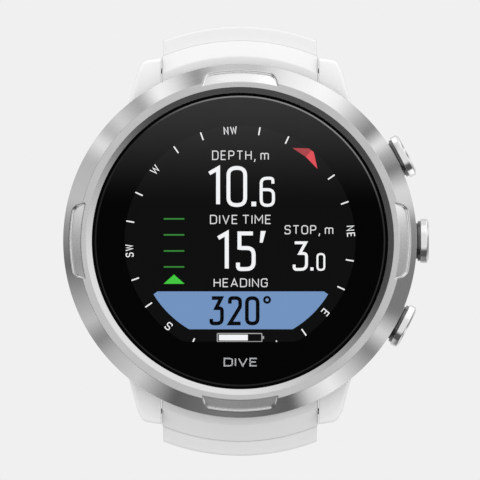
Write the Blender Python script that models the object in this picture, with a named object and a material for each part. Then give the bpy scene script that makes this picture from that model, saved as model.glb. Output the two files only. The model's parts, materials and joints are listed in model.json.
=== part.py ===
"""Wrist dive computer: steel bezel, white case with four lugs, three push buttons and an open strap.

Lengths below are in millimetres and are scaled to metres when a mesh is made. Everything hangs on the
empty "dial", whose local X points to 3 o'clock, local Y to 12 o'clock and local Z out of the glass. Its
origin is the centre of the case back's flat wrist face. The world's -Y is the direction the glass faces
and +Z is 12 o'clock.
"""

import math

import bmesh
import bpy

MM = 0.001
GAP = 0.3  # clearance between pieces that rest on each other or are cut by each other

# heights above the wrist face
CASE_REAR = 0.8
CASE_BACK_TOP = 1.5
LEDGE_UNDER = 1.8
GROOVE_TOP = 2.8
LEDGE_TOP = 4.4
CASE_SHOULDER = 9.0
BEZEL_UNDER = 9.3
NECK_TOP = 13.0
MASK_UNDER = 13.15
MASK_TOP = 13.35
CRYSTAL_UNDER = 13.6
GASKET_TOP = 14.8
BEZEL_LIP_TOP = 15.5
CRYSTAL_TOP = 15.6
BEZEL_EDGE = 13.5
BEZEL_TOP = 16.5

# layers inside the case, each from its underside to its top
BUZZER = (1.8, 2.2)
CELL = (2.6, 6.0)
BOARD = (7.4, 8.2)
CHASSIS = (8.6, 9.6)
LIGHT_GUIDE = (9.9, 10.5)
PANEL = (10.8, 12.8)
UNDER_BOARD = BOARD[0] - GAP

# radii about the dial axis
BUZZER_R = 9.0
CELL_R = 13.0
LEDGE_R = 13.6
GROOVE_IN_R = 14.2
GROOVE_OUT_R = 15.3
SCREW_CIRCLE_R = 16.9
WINDOW_R = 17.3
BOARD_R = 18.4
CASE_BACK_R = 18.6
GUIDE_R = 18.7
PANEL_R = 18.9
CAVITY_R = 19.3
NECK_R = 23.5
CASE_R = 25.6
MASK_R = 21.6
CRYSTAL_R = 21.9
BEZEL_LIP_R = 22.15
GASKET_IN_R = 22.2
GASKET_OUT_R = 23.4
BEZEL_FLAT_IN_R = 23.05
BEZEL_FLAT_OUT_R = 24.2
BEZEL_R = 26.5
WINDOW_LOW = -15.1  # straight lower edge of the display's window
PLATE_FLAT = 16.4  # straight lower edge of the plates inside, below the centre
DIAL_STEPS = 60

# finger pockets in the bezel's cone
POCKET_DEPTH = 0.52
POCKET_IN_R = 23.2
POCKET_OUT_R = 25.6
POCKET_HALF_ANGLE = 12.6
POCKET_WALL = 0.3

# screws and charging contacts in the case back
FOUR = (1, 2, 3, 4)
SCREW_HEAD_R = 1.1
SCREW_R = 0.55
SCREW_HOLE_R = 0.85
COUNTERBORE_R = 1.4
COUNTERBORE_TOP = 1.0
CONTACT_R = 0.6
CONTACT_HOLE_R = 0.9
CONTACT_COLUMN = -11.0
CONTACT_PITCH = 2.6

# lugs and spring bars
LUG_ROOT_IN = 11.4
LUG_ROOT_OUT = 17.1
LUG_ROOT = 18.4
LUG_UNDER = 1.1
LUG_TOP = 8.6
LUG_GAP_HALF = 12.0
LUG_TIP = 27.6
BAR_OFFSET = 25.6
BAR_HEIGHT = 4.6
BAR_R = 0.9
BAR_HALF = 11.5
PIN_R = 0.45
PIN_REACH = 13.0
PIN_HOLE_R = 0.75
LEVER_IN = 7.6
LEVER_OUT = 8.6
RELIEF_R = 4.8
BARREL_R = 4.2

# push buttons, along each button's own axis
BUTTON_ANGLES = {"upper": 27.5, "middle": 0.0, "lower": -27.5}
BUTTON_HEIGHT = 5.8
CAP_R = 3.3
CAP_RIM = 27.1
CAP_END = 28.4
SLEEVE_R = 2.7
SLEEVE_IN = 19.6
SLEEVE_OUT = 26.8
STEM_R = 0.9
STEM_IN = 18.4
SIDE_BORE_IN = 18.2
SIDE_BORE_OUT = 30.0

# depth sensor, along its own axis through the side of the case
SENSOR_R = 2.2
SENSOR_IN = 20.0
SENSOR_NOSE = 23.4
SENSOR_BORE_R = 2.6
SENSOR_STEP = 24.0
COVER_R = 3.0
COVER_BORE_R = 3.3

# strap: half widths and the path behind the case
STRAP_END_HALF = 11.7
STRAP_WIDE_HALF = 11.55
STRAP_TAIL_HALF = 10.0
CREST_R = 27.75
RISER_R = 30.1
STRAP_FACE = 32.3
BOW_LENGTH = 26.0
STRAP_THICK = 3.8
STRAP_THIN = 3.3
STRAP_BEND = 18.0
STRAP_BORE_R = 1.2
STRAP_CUT_HALF = 13.0
STRAP_TIP = 8.0
PATH_START = -6.0
TAPER_SHARE = 0.55
TIP_NARROWING = 0.8

# buckle
BUCKLE_LOOP_R = 2.2
BUCKLE_ARM_IN = 10.5
BUCKLE_ARM_OUT = 12.2
BUCKLE_REACH = 12.2

STEEL = ((0.62, 0.62, 0.61), 0.32, 1.0)
DARK_STEEL = ((0.30, 0.30, 0.31), 0.38, 1.0)
GOLD = ((0.83, 0.62, 0.25), 0.3, 1.0)
WHITE_PLASTIC = ((0.86, 0.86, 0.86), 0.45, 0.0)
WHITE_SILICONE = ((0.88, 0.88, 0.88), 0.6, 0.0)
BLACK_RUBBER = ((0.02, 0.02, 0.02), 0.6, 0.0)
BLACK_PRINT = ((0.008, 0.008, 0.01), 0.35, 0.0)
DISPLAY_BLACK = ((0.012, 0.013, 0.016), 0.25, 0.0)
DIFFUSER = ((0.85, 0.86, 0.84), 0.5, 0.0)
BOARD_GREEN = ((0.03, 0.14, 0.07), 0.45, 0.0)
CHIP_BLACK = ((0.03, 0.03, 0.035), 0.4, 0.0)
GREY_PLASTIC = ((0.12, 0.12, 0.13), 0.5, 0.0)
CELL_FOIL = ((0.55, 0.56, 0.58), 0.35, 0.8)
CABLE_AMBER = ((0.55, 0.28, 0.05), 0.4, 0.0)
GLASS = ((0.05, 0.05, 0.06), 0.05, 0.0)


def clear_scene():
    for obj in list(bpy.data.objects):
        bpy.data.objects.remove(obj, do_unlink=True)


def make_empty(name, parent=None, location=(0, 0, 0), rotation=(0, 0, 0)):
    """An empty that carries a group of pieces; location in millimetres, rotation in degrees."""
    empty = bpy.data.objects.new(name, None)
    empty.empty_display_size = 5 * MM
    bpy.context.scene.collection.objects.link(empty)
    place(empty, parent, location, rotation)
    return empty


def place(obj, parent, location, rotation):
    obj.parent = parent
    obj.location = [value * MM for value in location]
    obj.rotation_euler = [math.radians(value) for value in rotation]


def make_material(name, finish):
    colour, roughness, metallic = finish
    material = bpy.data.materials.new(name)
    material.use_nodes = True
    shader = material.node_tree.nodes["Principled BSDF"]
    shader.inputs["Base Color"].default_value = (*colour, 1.0)
    shader.inputs["Roughness"].default_value = roughness
    shader.inputs["Metallic"].default_value = metallic
    return material


def finish_mesh(name, points, faces, material, parent, location=(0, 0, 0), rotation=(0, 0, 0)):
    """Makes one object from points in millimetres; its faces turn outward and its round sides are smooth."""
    mesh = bpy.data.meshes.new(name)
    mesh.from_pydata([[value * MM for value in point] for point in points], [], faces)
    shell = bmesh.new()
    shell.from_mesh(mesh)
    bmesh.ops.recalc_face_normals(shell, faces=shell.faces)
    if shell.calc_volume(signed=True) < 0:
        bmesh.ops.reverse_faces(shell, faces=shell.faces)
    shell.to_mesh(mesh)
    shell.free()
    mesh.shade_smooth()
    mesh.set_sharp_from_angle(angle=math.radians(32))
    obj = bpy.data.objects.new(name, mesh)
    if material:
        obj.data.materials.append(material)
    bpy.context.scene.collection.objects.link(obj)
    place(obj, parent, location, rotation)
    return obj


def as_cutter(obj):
    obj.hide_render = True
    obj.display_type = "WIRE"
    return obj


def boolean(obj, other, operation="DIFFERENCE", solver="EXACT"):
    modifier = obj.modifiers.new(other.name, "BOOLEAN")
    modifier.operation = operation
    modifier.solver = solver
    modifier.object = as_cutter(other)


def turned(profile, steps, start=0.0, sweep=360.0):
    """Points and faces of a profile of (radius, height) swept about local Z.

    A profile that starts and ends on the axis makes a solid, any other is a closed loop that makes a ring.
    A sweep under 360 degrees is closed with two end faces.
    """
    solid = profile[0][0] == 0 and profile[-1][0] == 0
    loop = profile[1:-1] if solid else profile
    whole = sweep == 360.0
    rows = steps if whole else steps + 1
    points = []
    for row in range(rows):
        angle = math.radians(start + sweep * row / steps)
        for radius, height in loop:
            points.append((radius * math.cos(angle), radius * math.sin(angle), height))
    faces = []
    size = len(loop)
    for row in range(steps):
        here = row * size
        there = ((row + 1) % rows) * size
        for i in range(size - 1 if solid else size):
            k = (i + 1) % size
            faces.append((here + i, here + k, there + k, there + i))
    if solid:
        for end, flat in ((0, profile[0][1] == profile[1][1]), (size - 1, profile[-1][1] == profile[-2][1])):
            rim = [row * size + end for row in range(rows)]
            if flat:
                faces.append(tuple(rim))
                continue
            points.append((0, 0, profile[0][1] if end == 0 else profile[-1][1]))
            pole = len(points) - 1
            for row in range(steps):
                faces.append((pole, rim[row], rim[(row + 1) % rows]))
    if not whole:
        faces.append(tuple(range(size)))
        faces.append(tuple(range((rows - 1) * size, rows * size)))
    return points, faces


def prism(outline, low, high):
    """Points and faces of a flat (x, y) outline standing between two heights."""
    size = len(outline)
    points = [(x, y, low) for x, y in outline] + [(x, y, high) for x, y in outline]
    faces = [tuple(range(size)), tuple(range(size, 2 * size))]
    for i in range(size):
        k = (i + 1) % size
        faces.append((i, k, size + k, size + i))
    return points, faces


def hollow_prism(outer, inner, low, high):
    """A prism with a through hole; both outlines have the same number of points."""
    size = len(outer)
    points = []
    for height in (low, high):
        points += [(x, y, height) for x, y in outer]
        points += [(x, y, height) for x, y in inner]
    faces = []
    for i in range(size):
        k = (i + 1) % size
        low_out, low_in, high_out, high_in = 0, size, 2 * size, 3 * size
        faces.append((low_out + i, low_out + k, low_in + k, low_in + i))
        faces.append((high_out + i, high_out + k, high_in + k, high_in + i))
        faces.append((low_out + i, low_out + k, high_out + k, high_out + i))
        faces.append((low_in + i, low_in + k, high_in + k, high_in + i))
    return points, faces


def box(x0, x1, y0, y1, z0, z1):
    return prism([(x0, y0), (x1, y0), (x1, y1), (x0, y1)], z0, z1)


def arc(centre, radius, start, end, steps):
    """Points on an arc, from the start angle to the end angle in degrees, both included."""
    points = []
    for i in range(steps + 1):
        angle = math.radians(start + (end - start) * i / steps)
        points.append((centre[0] + radius * math.cos(angle), centre[1] + radius * math.sin(angle)))
    return points


def rounded_box_outline(x0, x1, y0, y1, radius, steps=3):
    corners = ((x1, y1, 0), (x0, y1, 90), (x0, y0, 180), (x1, y0, 270))
    outline = []
    for x, y, turn in corners:
        centre = (x - radius if x == x1 else x + radius, y - radius if y == y1 else y + radius)
        outline += arc(centre, radius, turn, turn + 90, steps)
    return outline


def flat_disc_outline(radius, flat, steps):
    """A round outline cut off by a straight edge at y = -flat."""
    half = math.degrees(math.acos(flat / radius))
    return arc((0, 0), radius, -90 + half, 270 - half, steps)


def coil(radius, wire, turns, low, high, steps=8, sides=5):
    """A helical wire about local Z with flat cut ends."""
    points = []
    rows = turns * steps + 1
    for row in range(rows):
        angle = 2 * math.pi * row / steps
        height = low + (high - low) * row / (rows - 1)
        for side in range(sides):
            around = 2 * math.pi * side / sides
            r = radius + wire * math.cos(around)
            points.append((r * math.cos(angle), r * math.sin(angle), height + wire * math.sin(around)))
    faces = [tuple(range(sides)), tuple(range((rows - 1) * sides, rows * sides))]
    for row in range(rows - 1):
        for side in range(sides):
            k = (side + 1) % sides
            here, there = row * sides, (row + 1) * sides
            faces.append((here + side, here + k, there + k, there + side))
    return points, faces


def ring_outline(r_in, r_out, low, high):
    return [(r_out, high), (r_out, low), (r_in, low), (r_in, high)]


def disc_outline(radius, low, high):
    return [(0, low), (radius, low), (radius, high), (0, high)]


def cone_height(radius):
    """Height of the bezel's sloping face at a radius."""
    drop = (BEZEL_TOP - BEZEL_EDGE) / (BEZEL_R - BEZEL_FLAT_OUT_R)
    return BEZEL_TOP - (radius - BEZEL_FLAT_OUT_R) * drop


def strap_path(first, bend_radius, last, spacing=6.0):
    """Stations along a strap half behind the case: (outward, height, turn in degrees, distance along)."""
    stations = []
    centre = STRAP_FACE - STRAP_THICK / 2 - BAR_OFFSET
    out, height, turn, along = centre, PATH_START, 0.0, 0.0
    bend_length = bend_radius * math.radians(STRAP_BEND)
    for length, radius in ((first, 0), (bend_length, bend_radius), (last, 0)):
        count = max(1, round(length / spacing))
        for _ in range(count):
            stations.append((out, height, turn, along))
            step = length / count
            turned_by = step / radius if radius else 0.0
            middle = math.radians(turn) + turned_by / 2
            chord = 2 * radius * math.sin(turned_by / 2) if radius else step
            out -= chord * math.sin(middle)
            height -= chord * math.cos(middle)
            turn += math.degrees(turned_by)
            along += step
    stations.append((out, height, turn, along))
    return stations


def strap_end_rows():
    """Rows of the strap's stepped end: (outer point, inner point, half width, outer bow, inner bow).

    Points are (outward, height) about the spring bar. The bow is 1 where a row follows a circle round
    the dial.
    """
    angles = (150, 120, 96)
    barrel = [(BARREL_R * math.cos(math.radians(a)), BARREL_R * math.sin(math.radians(a))) for a in angles]
    rows = [(point, (point[0], -point[1]), STRAP_END_HALF, 0.0, 0.0) for point in barrel]
    # radius from the dial axis, height above the wrist face, inner point, half width and inner bow
    steps = (
        (CREST_R, 8.4, 1.0, -4.15, STRAP_END_HALF, 0.0),
        ((CREST_R + RISER_R) / 2, 7.0, 1.6, -4.3, STRAP_END_HALF, 0.0),
        (RISER_R, 5.6, 2.1, -4.6, STRAP_END_HALF, 0.3),
        (STRAP_FACE - 0.5, 5.2, 2.5, -4.95, STRAP_WIDE_HALF, 0.6),
        (STRAP_FACE, 4.6, 2.8, -5.3, STRAP_WIDE_HALF, 0.8),
    )
    for radius, height, inner_out, inner_height, half, inner_bow in steps:
        outer = (radius - BAR_OFFSET, height - BAR_HEIGHT)
        rows.append((outer, (inner_out, inner_height), half, 1.0, inner_bow))
    return rows


def strap_section(station, total, end_thick, tip_length):
    """The strap's section at one station of its path, in the form of strap_end_rows."""
    out, height, turn, along = station
    share = min(1.0, along / (TAPER_SHARE * total))
    thick = STRAP_THICK + (end_thick - STRAP_THICK) * share
    half = STRAP_WIDE_HALF + (STRAP_TAIL_HALF - STRAP_WIDE_HALF) * share
    into_tip = along - (total - tip_length)
    if into_tip > 0:
        half *= math.sqrt(1 - TIP_NARROWING * (into_tip / tip_length) ** 2)
    c, s = math.cos(math.radians(turn)), math.sin(math.radians(turn))
    outer = (out + c * thick / 2, height - s * thick / 2)
    inner = (out - c * thick / 2, height + s * thick / 2)
    bow = max(0.0, 1.0 - along / BOW_LENGTH) ** 2
    return outer, inner, half, bow, bow


def strap_mesh(rows):
    """A strip whose every row is a section across the strap, bowed round the dial near the case."""
    across = (1.0, 0.6, 0.2, -0.2, -0.6, -1.0)

    def bowed(point, x, bow):
        out, height = point
        if bow == 0:
            return (x, out, height)
        radius = out + BAR_OFFSET
        sag = radius - math.sqrt(radius * radius - x * x)
        return (x, out - bow * sag, height)

    points = []
    for outer, inner, half, outer_bow, inner_bow in rows:
        points += [bowed(outer, half * x, outer_bow) for x in across]
        points += [bowed(inner, -half * x, inner_bow) for x in across]
    size = 2 * len(across)
    last = size * (len(rows) - 1)
    faces = []
    for i in range(len(across) - 1):
        for start in (0, last):
            top, low = start + i, start + size - 1 - i
            faces.append((top, top + 1, low - 1, low))
    for row in range(len(rows) - 1):
        for i in range(size):
            k = (i + 1) % size
            here, there = size * row, size * (row + 1)
            faces.append((here + i, here + k, there + k, there + i))
    return points, faces


def frame_on(parent, name, station):
    """An empty at a path station: local Y runs on along the strap and local Z points away from the wrist."""
    out, height, turn, _ = station
    return make_empty(name, parent, (0, out, height), (-(90 + turn), 0, 0))


clear_scene()
dial = make_empty("dial", rotation=(90, 0, 0))
paint = {
    "steel": make_material("steel", STEEL),
    "dark_steel": make_material("dark_steel", DARK_STEEL),
    "gold": make_material("gold", GOLD),
    "case": make_material("white_plastic", WHITE_PLASTIC),
    "silicone": make_material("white_silicone", WHITE_SILICONE),
    "rubber": make_material("black_rubber", BLACK_RUBBER),
    "print": make_material("black_print", BLACK_PRINT),
    "display": make_material("display_black", DISPLAY_BLACK),
    "diffuser": make_material("diffuser", DIFFUSER),
    "board": make_material("board_green", BOARD_GREEN),
    "chip": make_material("chip_black", CHIP_BLACK),
    "grey": make_material("grey_plastic", GREY_PLASTIC),
    "cell": make_material("cell_foil", CELL_FOIL),
    "cable": make_material("cable_amber", CABLE_AMBER),
    "glass": make_material("glass", GLASS),
}


def dial_ring(name, profile, finish, steps=DIAL_STEPS):
    points, faces = turned(profile, steps)
    return finish_mesh(name, points, faces, paint[finish], dial)


def lug_outline(side, end):
    """Front view of one lug; side is +1 at 3 o'clock, end is +1 at 12 o'clock."""
    outline = [(LUG_ROOT_IN, LUG_ROOT), (LUG_ROOT_OUT, LUG_ROOT), (16.6, 21.0), (15.2, 25.7)]
    outline += [(14.6, 26.7), (13.5, 27.25), (LUG_ROOT_IN, LUG_TIP)]
    return [(side * x, end * y) for x, y in outline]


def make_case():
    chamfer_r = 23.5
    chamfer_top = 3.0
    profile = [
        (CASE_R, CASE_SHOULDER),
        (CASE_R, chamfer_top),
        (chamfer_r, CASE_REAR),
        (CASE_BACK_R + GAP, CASE_REAR),
        (CASE_BACK_R + GAP, LEDGE_UNDER),
        (GROOVE_OUT_R, LEDGE_UNDER),
        (GROOVE_OUT_R, GROOVE_TOP),
        (GROOVE_IN_R, GROOVE_TOP),
        (GROOVE_IN_R, LEDGE_UNDER),
        (LEDGE_R, LEDGE_UNDER),
        (LEDGE_R, LEDGE_TOP),
        (CAVITY_R, LEDGE_TOP),
        (CAVITY_R, NECK_TOP),
        (NECK_R, NECK_TOP),
        (NECK_R, CASE_SHOULDER),
    ]
    case = dial_ring("case_body", profile, "case")
    for side in (1, -1):
        for end in (1, -1):
            points, faces = prism(lug_outline(side, end), LUG_UNDER, LUG_TOP)
            lug = finish_mesh(f"lug_{side}_{end}", points, faces, None, dial)
            boolean(case, lug, "UNION")
    for end in (1, -1):
        along_x = (0, 90, 0)
        centre = (0, end * BAR_OFFSET, BAR_HEIGHT)
        points, faces = turned(disc_outline(RELIEF_R, -LUG_GAP_HALF, LUG_GAP_HALF), 32)
        boolean(case, finish_mesh(f"relief_{end}", points, faces, None, dial, centre, along_x))
        reach = PIN_REACH + 0.6
        points, faces = turned(disc_outline(PIN_HOLE_R, -reach, reach), 12)
        boolean(case, finish_mesh(f"pin_hole_{end}", points, faces, None, dial, centre, along_x))
    for label, angle in BUTTON_ANGLES.items():
        points, faces = turned(disc_outline(SLEEVE_R + GAP, SIDE_BORE_IN, SIDE_BORE_OUT), 24)
        bore = finish_mesh(f"bore_{label}", points, faces, None, dial, (0, 0, BUTTON_HEIGHT), (0, 90, angle))
        boolean(case, bore)
    sensor_bore = [
        (0, SIDE_BORE_IN),
        (SENSOR_BORE_R, SIDE_BORE_IN),
        (SENSOR_BORE_R, SENSOR_STEP),
        (COVER_BORE_R, SENSOR_STEP),
        (COVER_BORE_R, SIDE_BORE_OUT),
        (0, SIDE_BORE_OUT),
    ]
    points, faces = turned(sensor_bore, 24)
    bore = finish_mesh("sensor_bore", points, faces, None, dial, (0, 0, BUTTON_HEIGHT), (0, 90, 180))
    boolean(case, bore)
    screw_hole_top = 3.8
    for number in FOUR:
        points, faces = turned(disc_outline(SCREW_HOLE_R, -1.0, screw_hole_top), 12)
        boolean(case, finish_mesh(f"screw_hole_{number}", points, faces, None, dial, screw_place(number)))


def screw_place(number):
    angle = math.radians(45 + 90 * (number - 1))
    return (SCREW_CIRCLE_R * math.cos(angle), SCREW_CIRCLE_R * math.sin(angle), 0)


def make_case_back():
    chamfer = 0.4
    profile = [
        (0, 0),
        (CASE_BACK_R - chamfer, 0),
        (CASE_BACK_R, chamfer),
        (CASE_BACK_R, CASE_BACK_TOP),
        (0, CASE_BACK_TOP),
    ]
    back = dial_ring("case_back", profile, "steel", 48)
    below = -1.0
    above = CASE_BACK_TOP + 1.0
    counterbore = [
        (0, below),
        (COUNTERBORE_R, below),
        (COUNTERBORE_R, COUNTERBORE_TOP),
        (SCREW_HOLE_R, COUNTERBORE_TOP),
        (SCREW_HOLE_R, above),
        (0, above),
    ]
    sunk = 0.1
    head_top = 0.7
    screw_end = 3.5
    screw = [
        (0, sunk),
        (SCREW_HEAD_R, sunk),
        (SCREW_HEAD_R, head_top),
        (SCREW_R, head_top),
        (SCREW_R, screw_end),
        (0, screw_end),
    ]
    points, faces = turned(counterbore, 12)
    screw_points, screw_faces = turned(screw, 12)
    hexagon = arc((0, 0), 0.55, 0, 300, 5)
    socket = prism(hexagon, -0.5, 0.45)
    for number in FOUR:
        cutter = finish_mesh(f"counterbore_{number}", points, faces, None, dial, screw_place(number))
        boolean(back, cutter)
        name = f"case_back_screw_{number}"
        piece = finish_mesh(name, screw_points, screw_faces, paint["dark_steel"], dial, screw_place(number))
        boolean(piece, finish_mesh(f"socket_{number}", *socket, None, dial, screw_place(number)))
    contact_top = 2.2
    middle = sum(FOUR) / len(FOUR)
    for number in FOUR:
        spot = (CONTACT_COLUMN, (number - middle) * CONTACT_PITCH, 0)
        points, faces = turned(disc_outline(CONTACT_HOLE_R, below, above), 8)
        boolean(back, finish_mesh(f"contact_hole_{number}", points, faces, None, dial, spot))
        points, faces = turned(disc_outline(CONTACT_R, sunk, contact_top), 8)
        finish_mesh(f"charging_contact_{number}", points, faces, paint["gold"], dial, spot)
    slack = 0.25
    seal = ring_outline(GROOVE_IN_R + slack, GROOVE_OUT_R - slack, LEDGE_UNDER, GROOVE_TOP - GAP)
    dial_ring("case_back_seal", seal, "rubber", 40)


def make_front():
    lip_under = BEZEL_LIP_TOP - 0.3
    bore = NECK_R + GAP
    profile = [
        (BEZEL_R, BEZEL_EDGE),
        (BEZEL_R, BEZEL_UNDER),
        (bore, BEZEL_UNDER),
        (bore, lip_under),
        (BEZEL_LIP_R, lip_under),
        (BEZEL_LIP_R, BEZEL_LIP_TOP),
        (BEZEL_FLAT_IN_R, BEZEL_TOP),
        (BEZEL_FLAT_OUT_R, BEZEL_TOP),
    ]
    bezel = dial_ring("bezel_ring", profile, "steel")
    above = BEZEL_TOP + 1.0
    pocket = [
        (POCKET_IN_R, cone_height(POCKET_IN_R) - POCKET_DEPTH),
        (POCKET_OUT_R, cone_height(POCKET_OUT_R) - POCKET_DEPTH),
        (POCKET_OUT_R + POCKET_WALL, cone_height(POCKET_OUT_R)),
        (POCKET_OUT_R + POCKET_WALL, above),
        (POCKET_IN_R, above),
    ]
    for quarter in range(4):
        middle = 90 * quarter
        points, faces = turned(pocket, 8, middle - POCKET_HALF_ANGLE, 2 * POCKET_HALF_ANGLE)
        boolean(bezel, finish_mesh(f"pocket_{quarter}", points, faces, None, dial))
    edge = 0.25
    glass = [
        (0, CRYSTAL_UNDER),
        (CRYSTAL_R, CRYSTAL_UNDER),
        (CRYSTAL_R, CRYSTAL_TOP - edge),
        (CRYSTAL_R - edge, CRYSTAL_TOP),
        (0, CRYSTAL_TOP),
    ]
    dial_ring("crystal", glass, "glass", 56)
    gasket = ring_outline(GASKET_IN_R, GASKET_OUT_R, CRYSTAL_UNDER, GASKET_TOP)
    dial_ring("crystal_gasket", gasket, "rubber", 40)
    mask_outer = arc((0, 0), MASK_R, 0, 360 - 360 / DIAL_STEPS, DIAL_STEPS - 1)
    inward = WINDOW_R / MASK_R
    mask_inner = [(x * inward, max(y * inward, WINDOW_LOW)) for x, y in mask_outer]
    points, faces = hollow_prism(mask_outer, mask_inner, MASK_UNDER, MASK_TOP)
    finish_mesh("display_mask_ring", points, faces, paint["print"], dial)


def dial_plate(name, radius, layer, finish, steps=40):
    points, faces = prism(flat_disc_outline(radius, PLATE_FLAT, steps), *layer)
    return finish_mesh(name, points, faces, paint[finish], dial)


def make_inside():
    dial_plate("display_panel", PANEL_R, PANEL, "display", 56)
    dial_plate("backlight_guide", GUIDE_R, LIGHT_GUIDE, "diffuser")
    chassis = dial_plate("inner_chassis", PANEL_R, CHASSIS, "grey")
    window = prism(rounded_box_outline(-8, 8, -6, 6, 1.5), 8.0, 10.0)
    boolean(chassis, finish_mesh("chassis_window", *window, None, dial))
    dial_plate("main_circuit_board", BOARD_R, BOARD, "board")

    foil = -17.5
    fold = -16.7
    cable = [(foil, 7.7), (foil + 0.35, 7.7), (foil + 0.35, 12.3), (fold, 12.3), (fold, 12.6), (foil, 12.6)]
    cable_half = 5.0
    points, faces = prism(cable, -cable_half, cable_half)
    upright = [(z, x, y) for x, y, z in points]
    finish_mesh("display_cable", upright, faces, paint["cable"], dial)

    chip_half = 4.0
    chip = box(-chip_half, chip_half, -chip_half, chip_half, UNDER_BOARD - 0.75, UNDER_BOARD)
    finish_mesh("processor_chip", *chip, paint["chip"], dial)
    compass = box(-16.4, -14.2, 5.0, 7.2, UNDER_BOARD - 0.9, UNDER_BOARD)
    finish_mesh("compass_sensor", *compass, paint["chip"], dial)
    points, faces = turned(ring_outline(17.5, 18.5, 4.8, UNDER_BOARD), 16, 60, 60)
    finish_mesh("radio_antenna", points, faces, paint["gold"], dial)
    points, faces = turned(disc_outline(2.6, 4.75, UNDER_BOARD), 24)
    motor_r = 16.2
    motor_angle = math.radians(235)
    spot = (motor_r * math.cos(motor_angle), motor_r * math.sin(motor_angle), 0)
    finish_mesh("vibration_motor", points, faces, paint["steel"], dial, spot)
    dial_ring("battery_cell", disc_outline(CELL_R, *CELL), "cell", 40)
    dial_ring("buzzer_disc", disc_outline(BUZZER_R, *BUZZER), "gold", 32)


def make_depth_sensor():
    side = make_empty("sensor_axis", dial, (0, 0, BUTTON_HEIGHT), (0, 90, 180))
    stem_r = 1.8
    nose_r = 1.6
    capsule = [
        (0, SENSOR_IN),
        (stem_r, SENSOR_IN),
        (stem_r, 21.2),
        (SENSOR_R, 21.5),
        (SENSOR_R, 22.6),
        (nose_r, 22.8),
        (nose_r, SENSOR_NOSE),
        (0, SENSOR_NOSE),
    ]
    points, faces = turned(capsule, 16)
    finish_mesh("depth_sensor_capsule", points, faces, paint["dark_steel"], side)
    points, faces = turned(ring_outline(1.9, 2.35, 22.9, 23.5), 16)
    finish_mesh("depth_sensor_seal", points, faces, paint["rubber"], side)
    points, faces = turned(disc_outline(COVER_R, SENSOR_STEP + GAP, 25.2), 18)
    cover = finish_mesh("depth_sensor_cover", points, faces, paint["steel"], side)
    points, faces = turned(disc_outline(0.35, SENSOR_STEP, 26.0), 6)
    holes_r = 1.7
    for number in range(6):
        angle = math.radians(60 * number)
        spot = (holes_r * math.cos(angle), holes_r * math.sin(angle), 0)
        boolean(cover, finish_mesh(f"cover_hole_{number}", points, faces, None, side, spot))


def make_button(label, angle):
    axis = make_empty(f"button_{label}_axis", dial, (0, 0, BUTTON_HEIGHT), (0, 90, angle))
    stem_bore = STEM_R + GAP
    seal_room = (1.75, 20.1, 21.4)
    spring_room = 2.2
    spring_in = 22.2
    ceiling = 27.8
    sleeve = [
        (SLEEVE_R, SLEEVE_OUT),
        (SLEEVE_R, SLEEVE_IN),
        (stem_bore, SLEEVE_IN),
        (stem_bore, seal_room[1]),
        (seal_room[0], seal_room[1]),
        (seal_room[0], seal_room[2]),
        (stem_bore, seal_room[2]),
        (stem_bore, spring_in),
        (spring_room, spring_in),
        (spring_room, SLEEVE_OUT),
    ]
    points, faces = turned(sleeve, 16)
    finish_mesh(f"button_sleeve_{label}", points, faces, paint["dark_steel"], axis)
    groove_r = 0.6
    groove_in = 18.9
    groove_out = 19.35
    dome = 0.05
    cap = [
        (0, STEM_IN),
        (STEM_R, STEM_IN),
        (STEM_R, groove_in),
        (groove_r, groove_in),
        (groove_r, groove_out),
        (STEM_R, groove_out),
        (STEM_R, ceiling),
        (CAP_R - GAP, ceiling),
        (CAP_R - GAP, CAP_RIM),
        (CAP_R, CAP_RIM),
        (CAP_R, CAP_END - 0.45),
        (CAP_R - 0.5, CAP_END),
        (0, CAP_END + dome),
    ]
    points, faces = turned(cap, 20)
    finish_mesh(f"button_cap_{label}", points, faces, paint["steel"], axis)
    clip_gap = 60
    clip = ring_outline(0.75, 1.55, 19.0, 19.25)
    points, faces = turned(clip, 10, clip_gap / 2, 360 - clip_gap)
    finish_mesh(f"button_clip_{label}", points, faces, paint["dark_steel"], axis)
    points, faces = turned(ring_outline(1.05, 1.55, 20.35, 21.15), 12)
    finish_mesh(f"button_seal_{label}", points, faces, paint["rubber"], axis)
    wire = 0.2
    end_room = 2 * wire
    points, faces = coil(1.55, wire, 4, spring_in + end_room, ceiling - end_room, 8, 4)
    finish_mesh(f"button_spring_{label}", points, faces, paint["steel"], axis)
    switch = box(-1.3, 0.9, -1.6, 1.6, 15.4, 17.3)
    finish_mesh(f"button_switch_{label}", *switch, paint["grey"], axis)


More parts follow.
